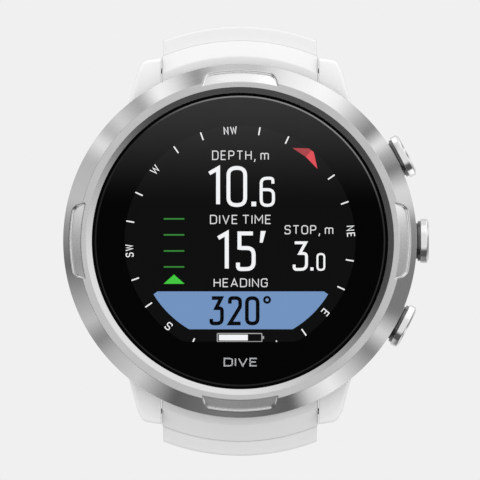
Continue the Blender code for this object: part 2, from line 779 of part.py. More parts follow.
def make_spring_bar(label, axis):
    """A tube with one fixed pin, one pin that a small lever draws in, and the spring that pushes it out."""
    bore_r = 0.6
    bore_end = -2.0
    pin_r = 0.4
    pin_in = 5.5
    tube = [
        (0, -PIN_REACH),
        (PIN_R, -PIN_REACH),
        (PIN_R, -BAR_HALF),
        (BAR_R, -BAR_HALF),
        (BAR_R, BAR_HALF),
        (bore_r, BAR_HALF),
        (bore_r, bore_end),
        (0, bore_end),
    ]
    along_x = (0, 90, 0)
    points, faces = turned(tube, 12)
    bar = finish_mesh(f"spring_bar_{label}", points, faces, paint["steel"], axis, rotation=along_x)
    slot = box(LEVER_IN - 2.4, LEVER_OUT + 0.7, -0.35, 0.35, -2.0, -0.2)
    boolean(bar, finish_mesh(f"lever_slot_{label}", *slot, None, axis))
    points, faces = turned(disc_outline(pin_r, pin_in, PIN_REACH), 10)
    piece = finish_mesh(f"release_pin_{label}", points, faces, paint["steel"], axis, rotation=along_x)
    lever = box(LEVER_IN, LEVER_OUT, -0.2, 0.2, -3.9, -0.1)
    boolean(piece, finish_mesh(f"lever_{label}", *lever, None, axis), "UNION")
    end_room = 0.2
    points, faces = coil(0.36, 0.09, 6, bore_end + end_room, pin_in - end_room, 6, 3)
    finish_mesh(f"release_spring_{label}", points, faces, paint["steel"], axis, rotation=along_x)


def make_strap_half(label, path, end_thick, tip_length):
    """One strap half with its bore for the spring bar and its notch for the quick-release lever."""
    end = 1 if label == "upper" else -1
    where = "top" if label == "upper" else "bottom"
    turn = 0 if end > 0 else 180
    axis = make_empty(f"strap_{label}_axis", dial, (0, end * BAR_OFFSET, BAR_HEIGHT), (0, 0, turn))
    total = path[-1][3]
    stations = [station for station in path if station[3] <= total - tip_length]
    tip_steps = 5 if tip_length else 0
    closing_up = 0.6  # under 1, so that the stations crowd towards the rounded tip
    for step in range(1, tip_steps + 1):
        stations.append(station_at(path, total - tip_length * (1 - (step / tip_steps) ** closing_up)))
    rows = strap_end_rows() + [strap_section(station, total, end_thick, tip_length) for station in stations]
    strap = finish_mesh(f"strap_{label}", *strap_mesh(rows), paint["silicone"], axis)
    along_x = (0, 90, 0)
    points, faces = turned(disc_outline(STRAP_BORE_R, -STRAP_CUT_HALF, STRAP_CUT_HALF), 20)
    bore = finish_mesh(f"strap_bore_{label}", points, faces, None, axis, rotation=along_x)
    boolean(strap, bore, solver="MANIFOLD")
    notch = box(LEVER_IN - 3.0, LEVER_OUT + 1.3, -0.9, 0.9, -6.0, 0.1)
    boolean(strap, finish_mesh(f"lever_notch_{label}", *notch, None, axis))
    make_spring_bar(where, axis)
    return strap, axis


def strap_holes(strap, axis, path):
    """Oval adjusting holes, spaced back from the strap's tip."""
    pitch = 6.5
    first = 14.0
    count = 9
    total = path[-1][3]
    for number in range(count):
        along = total - first - number * pitch
        station = station_at(path, along)
        spot = frame_on(axis, f"hole_axis_{number}", station)
        half_length = 0.7
        radius = 0.85
        outline = arc((0, half_length), radius, 0, 180, 5) + arc((0, -half_length), radius, 180, 360, 5)
        points, faces = prism(outline, -4.0, 4.0)
        boolean(strap, finish_mesh(f"strap_hole_{number}", points, faces, None, spot))


def station_at(path, along):
    """The point on a strap path at a distance along it."""
    for a, b in zip(path, path[1:]):
        if a[3] <= along <= b[3]:
            share = (along - a[3]) / (b[3] - a[3])
            return tuple(p + (q - p) * share for p, q in zip(a, b))
    return path[-1]


def make_straps():
    lower_path = strap_path(18.0, 100.0, 50.0)
    lower, lower_axis = make_strap_half("lower", lower_path, STRAP_THIN - 0.2, STRAP_TIP)
    strap_holes(lower, lower_axis, lower_path)
    upper_path = strap_path(14.0, 60.0, 38.0)
    upper, upper_axis = make_strap_half("upper", upper_path, STRAP_THIN, 0)
    make_buckle(upper, frame_on(upper_axis, "buckle_axis", upper_path[-1]))


def keeper_mesh(width):
    """A band round two thicknesses of strap."""
    wall = 1.3
    slack = 0.4
    low = -STRAP_THIN / 2 - slack
    high = STRAP_THIN / 2 + slack + STRAP_THIN + GAP
    half = STRAP_TAIL_HALF + slack
    inner = rounded_box_outline(-half, half, low, high, 0.6)
    outer = rounded_box_outline(-half - wall, half + wall, low - wall, high + wall, 1.6)
    points, faces = hollow_prism(outer, inner, -width / 2, width / 2)
    return [(x, z, y) for x, y, z in points], faces


def make_buckle(strap, axis):
    """The strap's looped end, the buckle bar, the frame and tongue that turn on it, and two keepers."""
    along_x = (0, 90, 0)
    loop_half = STRAP_TAIL_HALF - 0.05
    loop = turned(disc_outline(BUCKLE_LOOP_R, -loop_half, loop_half), 20)
    boolean(strap, finish_mesh("buckle_loop", *loop, None, axis, rotation=along_x), "UNION")
    bore = turned(disc_outline(STRAP_BORE_R, -STRAP_CUT_HALF, STRAP_CUT_HALF), 20)
    boolean(strap, finish_mesh("buckle_bore", *bore, None, axis, rotation=along_x))
    slot = box(-1.7, 1.7, -4.6, 4.0, -4.0, 4.0)
    boolean(strap, finish_mesh("tongue_slot", *slot, None, axis))

    pin_half = BUCKLE_ARM_IN + 0.9
    pin_r = 0.5
    bar_half = BUCKLE_ARM_IN - 0.2
    bar = [
        (0, -pin_half),
        (pin_r, -pin_half),
        (pin_r, -bar_half),
        (BAR_R, -bar_half),
        (BAR_R, bar_half),
        (pin_r, bar_half),
        (pin_r, pin_half),
        (0, pin_half),
    ]
    points, faces = turned(bar, 12)
    finish_mesh("buckle_bar", points, faces, paint["steel"], axis, rotation=along_x)

    half_thick = 1.1
    rail = 2.4
    corner = 2.0
    heel = -1.7
    outline = arc((BUCKLE_ARM_OUT - corner, BUCKLE_REACH - corner), corner, 0, 90, 4)
    outline += arc((corner - BUCKLE_ARM_OUT, BUCKLE_REACH - corner), corner, 90, 180, 4)
    outline += [(-BUCKLE_ARM_OUT, heel), (-BUCKLE_ARM_IN, heel), (-BUCKLE_ARM_IN, BUCKLE_REACH - rail)]
    outline += [(BUCKLE_ARM_IN, BUCKLE_REACH - rail), (BUCKLE_ARM_IN, heel), (BUCKLE_ARM_OUT, heel)]
    frame = finish_mesh("buckle_frame", *prism(outline, -half_thick, half_thick), paint["steel"], axis)
    hole_half = pin_half + 0.25
    pin_hole = turned(disc_outline(pin_r + GAP, -hole_half, hole_half), 12)
    boolean(frame, finish_mesh("buckle_pin_hole", *pin_hole, None, axis, rotation=along_x))

    over = half_thick + GAP
    prong = 1.0
    side = arc((0, 0), 1.9, 100, 380, 14)
    side += [(BUCKLE_REACH - prong / 2, over), (BUCKLE_REACH, over + prong / 2)]
    side += [(BUCKLE_REACH - prong / 2, over + prong), (1.5, over + prong)]
    tongue_half = 1.1
    points, faces = prism(side, -tongue_half, tongue_half)
    upright = [(z, x, y) for x, y, z in points]
    tongue = finish_mesh("buckle_tongue", upright, faces, paint["steel"], axis)
    eye = turned(disc_outline(STRAP_BORE_R, -2.0, 2.0), 16)
    boolean(tongue, finish_mesh("tongue_eye", *eye, None, axis, rotation=along_x))

    finish_mesh("strap_keeper_fixed", *keeper_mesh(4.5), paint["silicone"], axis, (0, -8.5, 0))
    finish_mesh("strap_keeper_sliding", *keeper_mesh(5.5), paint["silicone"], axis, (0, -14.5, 0))


make_case()
make_case_back()
make_front()
make_inside()
make_depth_sensor()
for button_label, button_angle in BUTTON_ANGLES.items():
    make_button(button_label, button_angle)
make_straps()
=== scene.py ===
import json
import math

import bmesh
import bpy
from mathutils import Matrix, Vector

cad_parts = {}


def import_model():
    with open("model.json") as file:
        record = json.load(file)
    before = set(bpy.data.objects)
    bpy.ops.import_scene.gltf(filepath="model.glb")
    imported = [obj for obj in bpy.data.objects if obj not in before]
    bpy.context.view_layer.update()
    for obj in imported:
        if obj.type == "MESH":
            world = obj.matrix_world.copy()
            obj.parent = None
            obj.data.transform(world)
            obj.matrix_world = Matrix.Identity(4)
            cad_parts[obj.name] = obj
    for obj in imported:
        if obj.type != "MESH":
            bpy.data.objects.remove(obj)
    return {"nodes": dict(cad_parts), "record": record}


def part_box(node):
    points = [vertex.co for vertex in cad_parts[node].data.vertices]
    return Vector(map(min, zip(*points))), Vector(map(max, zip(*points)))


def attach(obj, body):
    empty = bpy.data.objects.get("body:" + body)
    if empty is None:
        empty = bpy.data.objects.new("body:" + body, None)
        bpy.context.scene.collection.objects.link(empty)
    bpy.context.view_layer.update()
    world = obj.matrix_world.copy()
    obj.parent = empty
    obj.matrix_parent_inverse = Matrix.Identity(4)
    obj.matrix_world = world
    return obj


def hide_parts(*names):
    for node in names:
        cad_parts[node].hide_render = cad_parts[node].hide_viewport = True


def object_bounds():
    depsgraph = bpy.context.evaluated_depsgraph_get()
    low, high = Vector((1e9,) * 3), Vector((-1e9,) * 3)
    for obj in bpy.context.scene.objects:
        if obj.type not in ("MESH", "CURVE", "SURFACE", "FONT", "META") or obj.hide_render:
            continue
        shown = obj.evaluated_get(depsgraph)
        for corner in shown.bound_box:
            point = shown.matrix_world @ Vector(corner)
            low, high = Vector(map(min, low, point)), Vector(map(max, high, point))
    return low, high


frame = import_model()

cad_low, cad_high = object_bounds()

# The scene is written in millimetres in the dial's own frame: x to 3 o'clock, y to 12 o'clock and h out of the
# glass from the wrist face. world() turns that into the row frame in metres.
MM = 0.001
GREY_BACKGROUND = 0.871


def world(x, y, h):
    return Vector((x * MM, -h * MM, y * MM))


def size_of(node):
    """A CAD node's box in the dial frame: ((x, y, h) lowest, (x, y, h) highest), in millimetres."""
    low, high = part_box(node)
    return (low.x / MM, low.z / MM, -high.y / MM), (high.x / MM, high.z / MM, -low.y / MM)


def radius_of(node):
    low, high = size_of(node)
    return (high[0] - low[0]) / 2


BEZEL_R = radius_of("bezel_ring")
BEZEL_UNDER = size_of("bezel_ring")[0][2]
BEZEL_TOP = size_of("bezel_ring")[1][2]
CRYSTAL_R = radius_of("crystal")
CRYSTAL_UNDER = size_of("crystal")[0][2]
CRYSTAL_TOP = size_of("crystal")[1][2]
DISPLAY_TOP = size_of("display_panel")[1][2]
MASK_UNDER = size_of("display_mask_ring")[0][2]
CASE_REAR = size_of("case_body")[0][2]
BACK_R = radius_of("case_back")
BACK_TOP = size_of("case_back")[1][2]
BEZEL_EDGE = BEZEL_TOP - 3.0
LIP_R = 22.17
LIP_TILT = 35.0
FLAT_IN_R = 23.05
FLAT_OUT_R = 24.2
BAR_OFFSET = 25.6
BAR_HEIGHT = 4.6
BUTTON_HEIGHT = 5.8
BUTTON_ANGLES = {"upper": 27.5, "middle": 0.0, "lower": -27.5}


# ---------------------------------------------------------------- meshes

def fillet(points, radii, steps=4, closed=True):
    """A polyline with each corner rounded by its radius."""
    out = []
    count = len(points)
    for i, (point, radius) in enumerate(zip(points, radii)):
        ends = not closed and i in (0, count - 1)
        if radius == 0 or ends:
            out.append(tuple(point))
            continue
        corner = Vector(point)
        before = Vector(points[i - 1]) - corner
        after = Vector(points[(i + 1) % count]) - corner
        opening = before.angle(after)
        reach = radius / math.tan(opening / 2)
        reach = min(reach, 0.49 * before.length, 0.49 * after.length)
        start = corner + before.normalized() * reach
        end = corner + after.normalized() * reach
        for k in range(steps + 1):
            t = k / steps
            spot = start * (1 - t) ** 2 + corner * 2 * t * (1 - t) + end * t ** 2
            out.append(tuple(spot))
    return out


def arc(cx, cy, radius, start, end, steps):
    """Points on an arc from the start angle to the end angle in degrees, both included."""
    points = []
    for i in range(steps + 1):
        a = math.radians(start + (end - start) * i / steps)
        points.append((cx + radius * math.cos(a), cy + radius * math.sin(a)))
    return points


def make_piece(name, points, faces, materials, zones=None, sharp=35.0, convert=world):
    """One object from points in the dial frame, faces turned outward; zones gives each face's material index."""
    mesh = bpy.data.meshes.new(name)
    mesh.from_pydata([convert(*point) for point in points], [], faces)
    for material in materials:
        mesh.materials.append(material)
    if zones:
        mesh.polygons.foreach_set("material_index", zones)
    shell = bmesh.new()
    shell.from_mesh(mesh)
    bmesh.ops.recalc_face_normals(shell, faces=shell.faces)
    if shell.calc_volume(signed=True) < 0:
        bmesh.ops.reverse_faces(shell, faces=shell.faces)
    shell.to_mesh(mesh)
    shell.free()
    mesh.shade_smooth()
    mesh.set_sharp_from_angle(angle=math.radians(sharp))
    obj = bpy.data.objects.new(name, mesh)
    bpy.context.scene.collection.objects.link(obj)
    return obj


def lathe(profile, steps, place=None, start=0.0, sweep=360.0):
    """A closed (radius, height) profile turned about the dial axis, or about the axis that place maps to."""
    place = place or (lambda x, y, h: (x, y, h))
    solid = profile[0][0] == 0 and profile[-1][0] == 0
    loop = profile[1:-1] if solid else profile
    whole = sweep == 360.0
    rows = steps if whole else steps + 1
    points, faces = [], []
    for row in range(rows):
        a = math.radians(start + sweep * row / steps)
        points += [place(r * math.cos(a), r * math.sin(a), h) for r, h in loop]
    size = len(loop)
    for row in range(steps):
        here, there = row * size, ((row + 1) % rows) * size
        for i in range(size - 1 if solid else size):
            k = (i + 1) % size
            faces.append((here + i, here + k, there + k, there + i))
    if solid:
        for end, height in ((0, profile[0][1]), (size - 1, profile[-1][1])):
            pole = len(points)
            points.append(place(0, 0, height))
            for row in range(steps):
                faces.append((pole, row * size + end, ((row + 1) % rows) * size + end))
    if not whole:
        faces.append(tuple(range(size)))
        faces.append(tuple(range((rows - 1) * size, rows * size)))
    return points, faces


def prism(outline, low, high, place=None):
    place = place or (lambda x, y, h: (x, y, h))
    size = len(outline)
    points = [place(x, y, low) for x, y in outline] + [place(x, y, high) for x, y in outline]
    faces = [tuple(range(size)), tuple(range(size, 2 * size))]
    for i in range(size):
        k = (i + 1) % size
        faces.append((i, k, size + k, size + i))
    return points, faces


def merge(parts):
    """Several (points, faces) as one."""
    points, faces = [], []
    for more_points, more_faces in parts:
        base = len(points)
        points += more_points
        faces += [tuple(base + i for i in face) for face in more_faces]
    return points, faces


def add_bevel(obj, width, segments=3, angle=30.0):
    bevel = obj.modifiers.new("soft_edges", "BEVEL")
    bevel.width = width * MM
    bevel.segments = segments
    bevel.limit_method = "ANGLE"
    bevel.angle_limit = math.radians(angle)
    bevel.harden_normals = True
    return bevel


def apply_modifiers(obj, sharp=35.0):
    """Replaces the mesh by its evaluated form, so that cutters can be deleted."""
    bpy.context.view_layer.update()
    graph = bpy.context.evaluated_depsgraph_get()
    done = bpy.data.meshes.new_from_object(obj.evaluated_get(graph))
    obj.modifiers.clear()
    obj.data = done
    done.shade_smooth()
    done.set_sharp_from_angle(angle=math.radians(sharp))


def boolean_all(obj, cutters, operation="DIFFERENCE", solver="EXACT", sharp=35.0):
    for cutter in cutters:
        modifier = obj.modifiers.new(cutter.name, "BOOLEAN")
        modifier.operation = operation
        modifier.solver = solver
        modifier.object = cutter
    apply_modifiers(obj, sharp)
    for cutter in cutters:
        bpy.data.objects.remove(cutter, do_unlink=True)


def settle(obj, body, slot, *nodes):
    """The piece rides on a body and stands for its CAD nodes, which it hides; slot is not used."""
    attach(obj, body)
    if nodes:
        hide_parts(*nodes)
    return obj


# ---------------------------------------------------------------- materials

EDGE_LIGHT_ANGLE = 72.0
# The studio's top light seen in the flat glass from straight in front, painted in as a glow (a painted reflection):
# it fades out from the top rim down.
GLARE = 0.036
GLARE_FROM = 0.005
GLARE_FULL = 0.024

class Shader:
    """A small helper round one material's node tree."""

    def __init__(self, name, colour, roughness, metallic=0.0):
        self.material = bpy.data.materials.new(name)
        self.material.use_nodes = True
        self.tree = self.material.node_tree
        self.surface = next(n for n in self.tree.nodes if n.type == "BSDF_PRINCIPLED")
        self.set("Base Color", (*colour, 1.0))
        self.set("Roughness", roughness)
        self.set("Metallic", metallic)

    def set(self, socket, value):
        self.surface.inputs[socket].default_value = value

    def link(self, source, socket):
        self.tree.links.new(source, self.surface.inputs[socket])

    def node(self, kind, **inputs):
        made = self.tree.nodes.new(kind)
        for key, value in inputs.items():
            if key.startswith("in_"):
                index = int(key[3:])
                if hasattr(value, "is_output"):
                    self.tree.links.new(value, made.inputs[index])
                else:
                    made.inputs[index].default_value = value
            else:
                setattr(made, key, value)
        return made

    def math(self, operation, a, b=0.0, c=0.0, clamp=False):
        made = self.node("ShaderNodeMath", operation=operation, use_clamp=clamp, in_0=a, in_1=b, in_2=c)
        return made.outputs[0]

    def position(self):
        return self.node("ShaderNodeTexCoord").outputs["Object"]

    def noise(self, vector, scale, detail=3.0, roughness=0.5):
        made = self.node("ShaderNodeTexNoise")
        self.tree.links.new(vector, made.inputs["Vector"])
        made.inputs["Scale"].default_value = scale
        made.inputs["Detail"].default_value = detail
        made.inputs["Roughness"].default_value = roughness
        return made.outputs["Fac"]

    def remap(self, value, low, high, start=0.0, end=1.0):
        made = self.node("ShaderNodeMapRange", in_0=value, in_1=start, in_2=end, in_3=low, in_4=high)
        return made.outputs[0]

    def tint(self, factor, dark, light):
        made = self.node("ShaderNodeMix", data_type="RGBA")
        self.tree.links.new(factor, made.inputs["Factor"])
        made.inputs[6].default_value = (*dark, 1.0)
        made.inputs[7].default_value = (*light, 1.0)
        return made.outputs[2]

    def bump(self, height, strength, distance):
        made = self.node("ShaderNodeBump")
        made.inputs["Strength"].default_value = strength
        made.inputs["Distance"].default_value = distance
        self.tree.links.new(height, made.inputs["Height"])
        self.link(made.outputs[0], "Normal")

    def polar(self):
        """(radius from the dial axis in mm, angle share of a turn, depth in mm) of the shaded point."""
        split = self.node("ShaderNodeSeparateXYZ", in_0=self.position())
        x, y, z = split.outputs
        square = self.math("ADD", self.math("MULTIPLY", x, x), self.math("MULTIPLY", z, z))
        radius = self.math("MULTIPLY", self.math("SQRT", square), 1 / MM)
        turn = self.math("MULTIPLY", self.math("ARCTAN2", z, x), 0.5 / math.pi)
        return radius, turn, self.math("MULTIPLY", y, 1 / MM)


def turned_grain(shader, fine, along):
    """Noise drawn out along circles round the dial axis: fine lines per mm across, along repeats per turn."""
    radius, turn, depth = shader.polar()
    across = shader.math("MULTIPLY", shader.math("ADD", radius, depth), fine)
    round_ = shader.math("MULTIPLY", turn, 2 * math.pi)
    made = shader.node("ShaderNodeCombineXYZ")
    cosine = shader.math("MULTIPLY", shader.math("COSINE", round_), along)
    sine = shader.math("MULTIPLY", shader.math("SINE", round_), along)
    shader.tree.links.new(across, made.inputs[0])
    shader.tree.links.new(cosine, made.inputs[1])
    shader.tree.links.new(sine, made.inputs[2])
    return shader.noise(made.outputs[0], 1.0, 4.0, 0.65)


def turned_steel(name, level, roughness, anisotropic, bump):
    """Steel finished in a lathe: circular brushing that fans its highlights out along the radius."""
    shader = Shader(name, (level, level, level), roughness, 1.0)
    grain = turned_grain(shader, 9.0, 2.5)
    dark, light = level * 0.93, min(1.0, level * 1.06)
    shader.link(shader.tint(grain, (dark, dark, dark), (light, light, light)), "Base Color")
    shader.link(shader.remap(grain, roughness * 0.8, roughness * 1.25), "Roughness")
    shader.set("Anisotropic", anisotropic)
    shader.set("Anisotropic Rotation", 0.25)
    tangent = shader.node("ShaderNodeTangent", direction_type="RADIAL", axis="Y")
    shader.link(tangent.outputs[0], "Tangent")
    shader.bump(grain, bump, 0.00002)
    return shader.material


def blasted_steel(name, level, roughness):
    """Bead-blasted steel: a fine even grit."""
    shader = Shader(name, (level, level, level), roughness, 1.0)
    grit = shader.noise(shader.position(), 9000.0, 2.0, 0.6)
    patch = shader.noise(shader.position(), 260.0, 2.0)
    shader.link(shader.tint(patch, (level * 0.95,) * 3, (level * 1.05,) * 3), "Base Color")
    shader.link(shader.remap(grit, roughness * 0.85, roughness * 1.15), "Roughness")
    shader.bump(grit, 0.25, 0.00001)
    return shader.material


def plain_steel(name, level, roughness, stretch=(1.0, 1.0, 12.0)):
    """Steel brushed along one direction."""
    shader = Shader(name, (level, level, level), roughness, 1.0)
    mapping = shader.node("ShaderNodeMapping")
    shader.tree.links.new(shader.position(), mapping.inputs["Vector"])
    mapping.inputs["Scale"].default_value = stretch
    grain = shader.noise(mapping.outputs[0], 900.0, 4.0, 0.6)
    shader.link(shader.tint(grain, (level * 0.9,) * 3, (level * 1.08,) * 3), "Base Color")
    shader.link(shader.remap(grain, roughness * 0.75, roughness * 1.3), "Roughness")
    shader.bump(grain, 0.12, 0.00001)
    return shader.material


def moulded(name, light, dark, roughness, grit_scale, bump, sheen=0.0, coat=0.0, specular=0.5, rim=1.0):
    """Moulded plastic or silicone: a matte grit, a slow colour change and a little surface unevenness.

    Rim is the share of its brightness that the surface keeps where it is seen edge-on: a painted shade that darkens
    the colour towards the silhouette.
    """
    shader = Shader(name, light, roughness)
    shader.set("Specular IOR Level", specular)
    grit = shader.noise(shader.position(), grit_scale, 3.0, 0.6)
    slow = shader.noise(shader.position(), 90.0, 2.0)
    colour = shader.tint(slow, dark, light)
    # Painted shade: the colour is scaled down where the surface turns edge-on to the view.
    if rim < 1.0:
        facing = shader.node("ShaderNodeLayerWeight", in_0=0.5).outputs["Facing"]
        kept = shader.remap(facing, 1.0, rim, 0.6, 0.95)
        shaded = shader.node("ShaderNodeVectorMath", operation="SCALE", in_0=colour, in_3=kept)
        colour = shaded.outputs[0]
    shader.link(colour, "Base Color")
    shader.link(shader.remap(grit, roughness * 0.85, roughness * 1.15), "Roughness")
    shader.set("Sheen Weight", sheen)
    shader.set("Coat Weight", coat)
    shader.bump(grit, bump, 0.00002)
    return shader.material


def glowing(name, colour, strength, darker=0.94):
    """A lit part of the display, with the faint grain of its pixels."""
    shader = Shader(name, (0.0, 0.0, 0.0), 0.5)
    shader.set("Specular IOR Level", 0.0)
    grain = shader.noise(shader.position(), 16000.0, 1.0)
    dark = tuple(darker * c for c in colour)
    shader.link(shader.tint(grain, dark, colour), "Emission Color")
    shader.set("Emission Strength", strength)
    return shader.material


def lit_edge(name):
    """The glass's edge with a painted highlight: its colour is bright round EDGE_LIGHT_ANGLE, where the top light
    would catch it, and dark elsewhere.
    """
    shader = Shader(name, (0.1, 0.1, 0.1), 0.2, 1.0)
    _, turn, _ = shader.polar()
    off = shader.math("SUBTRACT", turn, EDGE_LIGHT_ANGLE / 360)
    share = shader.math("COSINE", shader.math("MULTIPLY", off, 2 * math.pi))
    catch = shader.node("ShaderNodeMapRange", interpolation_type="SMOOTHSTEP", in_0=share, in_1=0.45, in_2=1.0)
    grain = shader.noise(shader.position(), 2500.0, 2.0)
    # Painted highlight: the angle-dependent brightness, with a little grain, goes into the edge's colour.
    painted_glint = shader.math("MULTIPLY", catch.outputs[0], shader.remap(grain, 0.85, 1.15))
    shader.link(shader.tint(painted_glint, (0.022, 0.022, 0.022), (0.2, 0.2, 0.2)), "Base Color")
    return shader.material


def display_glass(name):
    """Coated flat glass: almost clear, with a weak mirror reflection, and seen head-on a painted reflection of the
    top light that glows from the top rim down.
    """
    shader = Shader(name, (0.0, 0.0, 0.0), 0.02)
    nodes, links = shader.tree.nodes, shader.tree.links
    out = next(n for n in nodes if n.type == "OUTPUT_MATERIAL")
    clear = nodes.new("ShaderNodeBsdfTransparent")
    clear.inputs[0].default_value = (0.97, 0.975, 0.98, 1.0)
    shine = nodes.new("ShaderNodeBsdfGlossy")
    shine.inputs["Roughness"].default_value = 0.0
    mirror = nodes.new("ShaderNodeFresnel")
    mirror.inputs["IOR"].default_value = 1.45
    geometry = nodes.new("ShaderNodeNewGeometry")
    facing = shader.node("ShaderNodeVectorMath", operation="DOT_PRODUCT", in_0=geometry.outputs["Normal"],
                         in_1=geometry.outputs["Incoming"])
    head_on = shader.node("ShaderNodeMapRange", interpolation_type="SMOOTHSTEP", in_0=facing.outputs["Value"],
                          in_1=0.97, in_2=0.998).outputs[0]
    outside = shader.math("SUBTRACT", 1.0, geometry.outputs["Backfacing"])
    head_on = shader.math("MULTIPLY", head_on, outside)
    slanted = shader.math("MULTIPLY", mirror.outputs[0], shader.math("SUBTRACT", outside, head_on))
    smear = shader.remap(shader.noise(shader.position(), 180.0, 3.0), 0.93, 1.07)
    height = shader.node("ShaderNodeSeparateXYZ", in_0=shader.position()).outputs[2]
    lit = shader.node("ShaderNodeMapRange", interpolation_type="SMOOTHSTEP", in_0=height, in_1=GLARE_FROM,
                      in_2=GLARE_FULL, in_3=0.0, in_4=GLARE)
    # Painted reflection: this glow stands in for the top light mirrored in the glass when it is seen head-on.
    glare = nodes.new("ShaderNodeEmission")
    links.new(shader.math("MULTIPLY", shader.math("MULTIPLY", lit.outputs[0], smear), head_on),
              glare.inputs["Strength"])
    mix = nodes.new("ShaderNodeMixShader")
    links.new(shader.math("MULTIPLY", slanted, smear), mix.inputs[0])
    links.new(clear.outputs[0], mix.inputs[1])
    links.new(shine.outputs[0], mix.inputs[2])
    both = nodes.new("ShaderNodeAddShader")
    links.new(mix.outputs[0], both.inputs[0])
    links.new(glare.outputs[0], both.inputs[1])
    links.new(both.outputs[0], out.inputs["Surface"])
    nodes.remove(shader.surface)
    return shader.material


STEEL_LEVEL = 0.5
cone_steel = turned_steel("cone_steel", STEEL_LEVEL, 0.14, 0.8, 0.2)
wall_steel = turned_steel("wall_steel", STEEL_LEVEL, 0.3, 0.6, 0.3)
polished_steel = turned_steel("polished_steel", STEEL_LEVEL, 0.16, 0.2, 0.05)
pocket_steel = blasted_steel("pocket_steel", 0.8, 0.28)
flat_steel = blasted_steel("flat_steel", STEEL_LEVEL, 0.45)
cap_steel = plain_steel("cap_steel", 0.66, 0.1)
collar_steel = plain_steel("collar_steel", 0.12, 0.25)
buckle_steel = plain_steel("buckle_steel", 0.52, 0.28, (1.0, 10.0, 10.0))
# rim below 1 gives the case and the strap a painted shade towards their silhouettes.
white_case = moulded("white_case", (0.93, 0.93, 0.93), (0.91, 0.91, 0.915), 0.38, 2600.0, 0.12, rim=0.4)
silicone = moulded("silicone", (0.84, 0.84, 0.84), (0.82, 0.82, 0.825), 0.55, 1800.0, 0.2, sheen=0.05, rim=0.45)
black_rubber = moulded("black_rubber", (0.012, 0.012, 0.012), (0.008, 0.008, 0.008), 0.55, 2400.0, 0.2)
# The black print glows at a fixed faint level: painted light standing in for the little light its black ink gives
# back; it is no lamp.
black_print = glowing("black_print", (0.0019, 0.0019, 0.0019), 1.0)
# The panel's black glows at a fixed faint level: partly the screen's own dark glow, partly painted light standing in
# for the light its black face gives back.
panel_black = glowing("panel_black", (0.0058, 0.0058, 0.0059), 1.0)
gold = plain_steel("gold", 0.6, 0.25)
gold_shader = next(n for n in gold.node_tree.nodes if n.type == "MIX")
gold_shader.inputs[6].default_value = (0.72, 0.50, 0.20, 1.0)
gold_shader.inputs[7].default_value = (0.86, 0.64, 0.28, 1.0)
glass = display_glass("display_glass")
# The glass edge's material, with the top light's highlight painted into its colour.
painted_glint_edge = lit_edge("painted_glint_edge")
gap_black = moulded("gap_black", (0.002, 0.002, 0.002), (0.0012, 0.0012, 0.0012), 0.6, 2400.0, 0.1, specular=0.02)


# ---------------------------------------------------------------- bezel

POCKET_DEPTH = 0.52
POCKET_OUT_R = 25.45
POCKET_END_IN = 5.73
POCKET_END_OUT = 5.2
POCKET_WALL = 0.34
POCKET_IN_R = 23.8


def cone_line(radius):
    return BEZEL_TOP - (radius - FLAT_OUT_R) * (BEZEL_TOP - BEZEL_EDGE) / (BEZEL_R - FLAT_OUT_R)


def pocket_reach(radius):
    """Half the length of a finger pocket at a radius: its ends slant inward towards the rim."""
    inside = min(max(radius, POCKET_IN_R), POCKET_OUT_R)
    return POCKET_END_IN + (POCKET_END_OUT - POCKET_END_IN) * (inside - POCKET_IN_R) / (POCKET_OUT_R - POCKET_IN_R)


def along_end(radius, turn):
    """A mesh station moved so that the stations near a pocket's end run along the slanted end."""
    plain = math.degrees(pocket_reach(POCKET_IN_R) / POCKET_IN_R)
    inside = min(max(radius, POCKET_IN_R), POCKET_OUT_R)
    slanted = math.degrees(pocket_reach(radius) / inside)
    size = abs(turn)
    moved = size * slanted / plain if size < plain else slanted + (size - plain) * (45 - slanted) / (45 - plain)
    return math.copysign(moved, turn)


def pocket_share(radius, turn):
    """How deep inside a finger pocket a point is: 0 outside, 1 on the floor, smooth over the wall."""
    along = radius * math.radians(turn)
    reach = pocket_reach(radius)
    corner = 0.7
    side = abs(along) - (reach - corner)
    out = radius - (POCKET_OUT_R - corner)
    gap = math.hypot(max(side, 0), max(out, 0)) + min(max(side, out), 0) - corner
    share = min(1.0, max(0.0, -gap / POCKET_WALL + 0.5))
    return share * share * (3 - 2 * share)


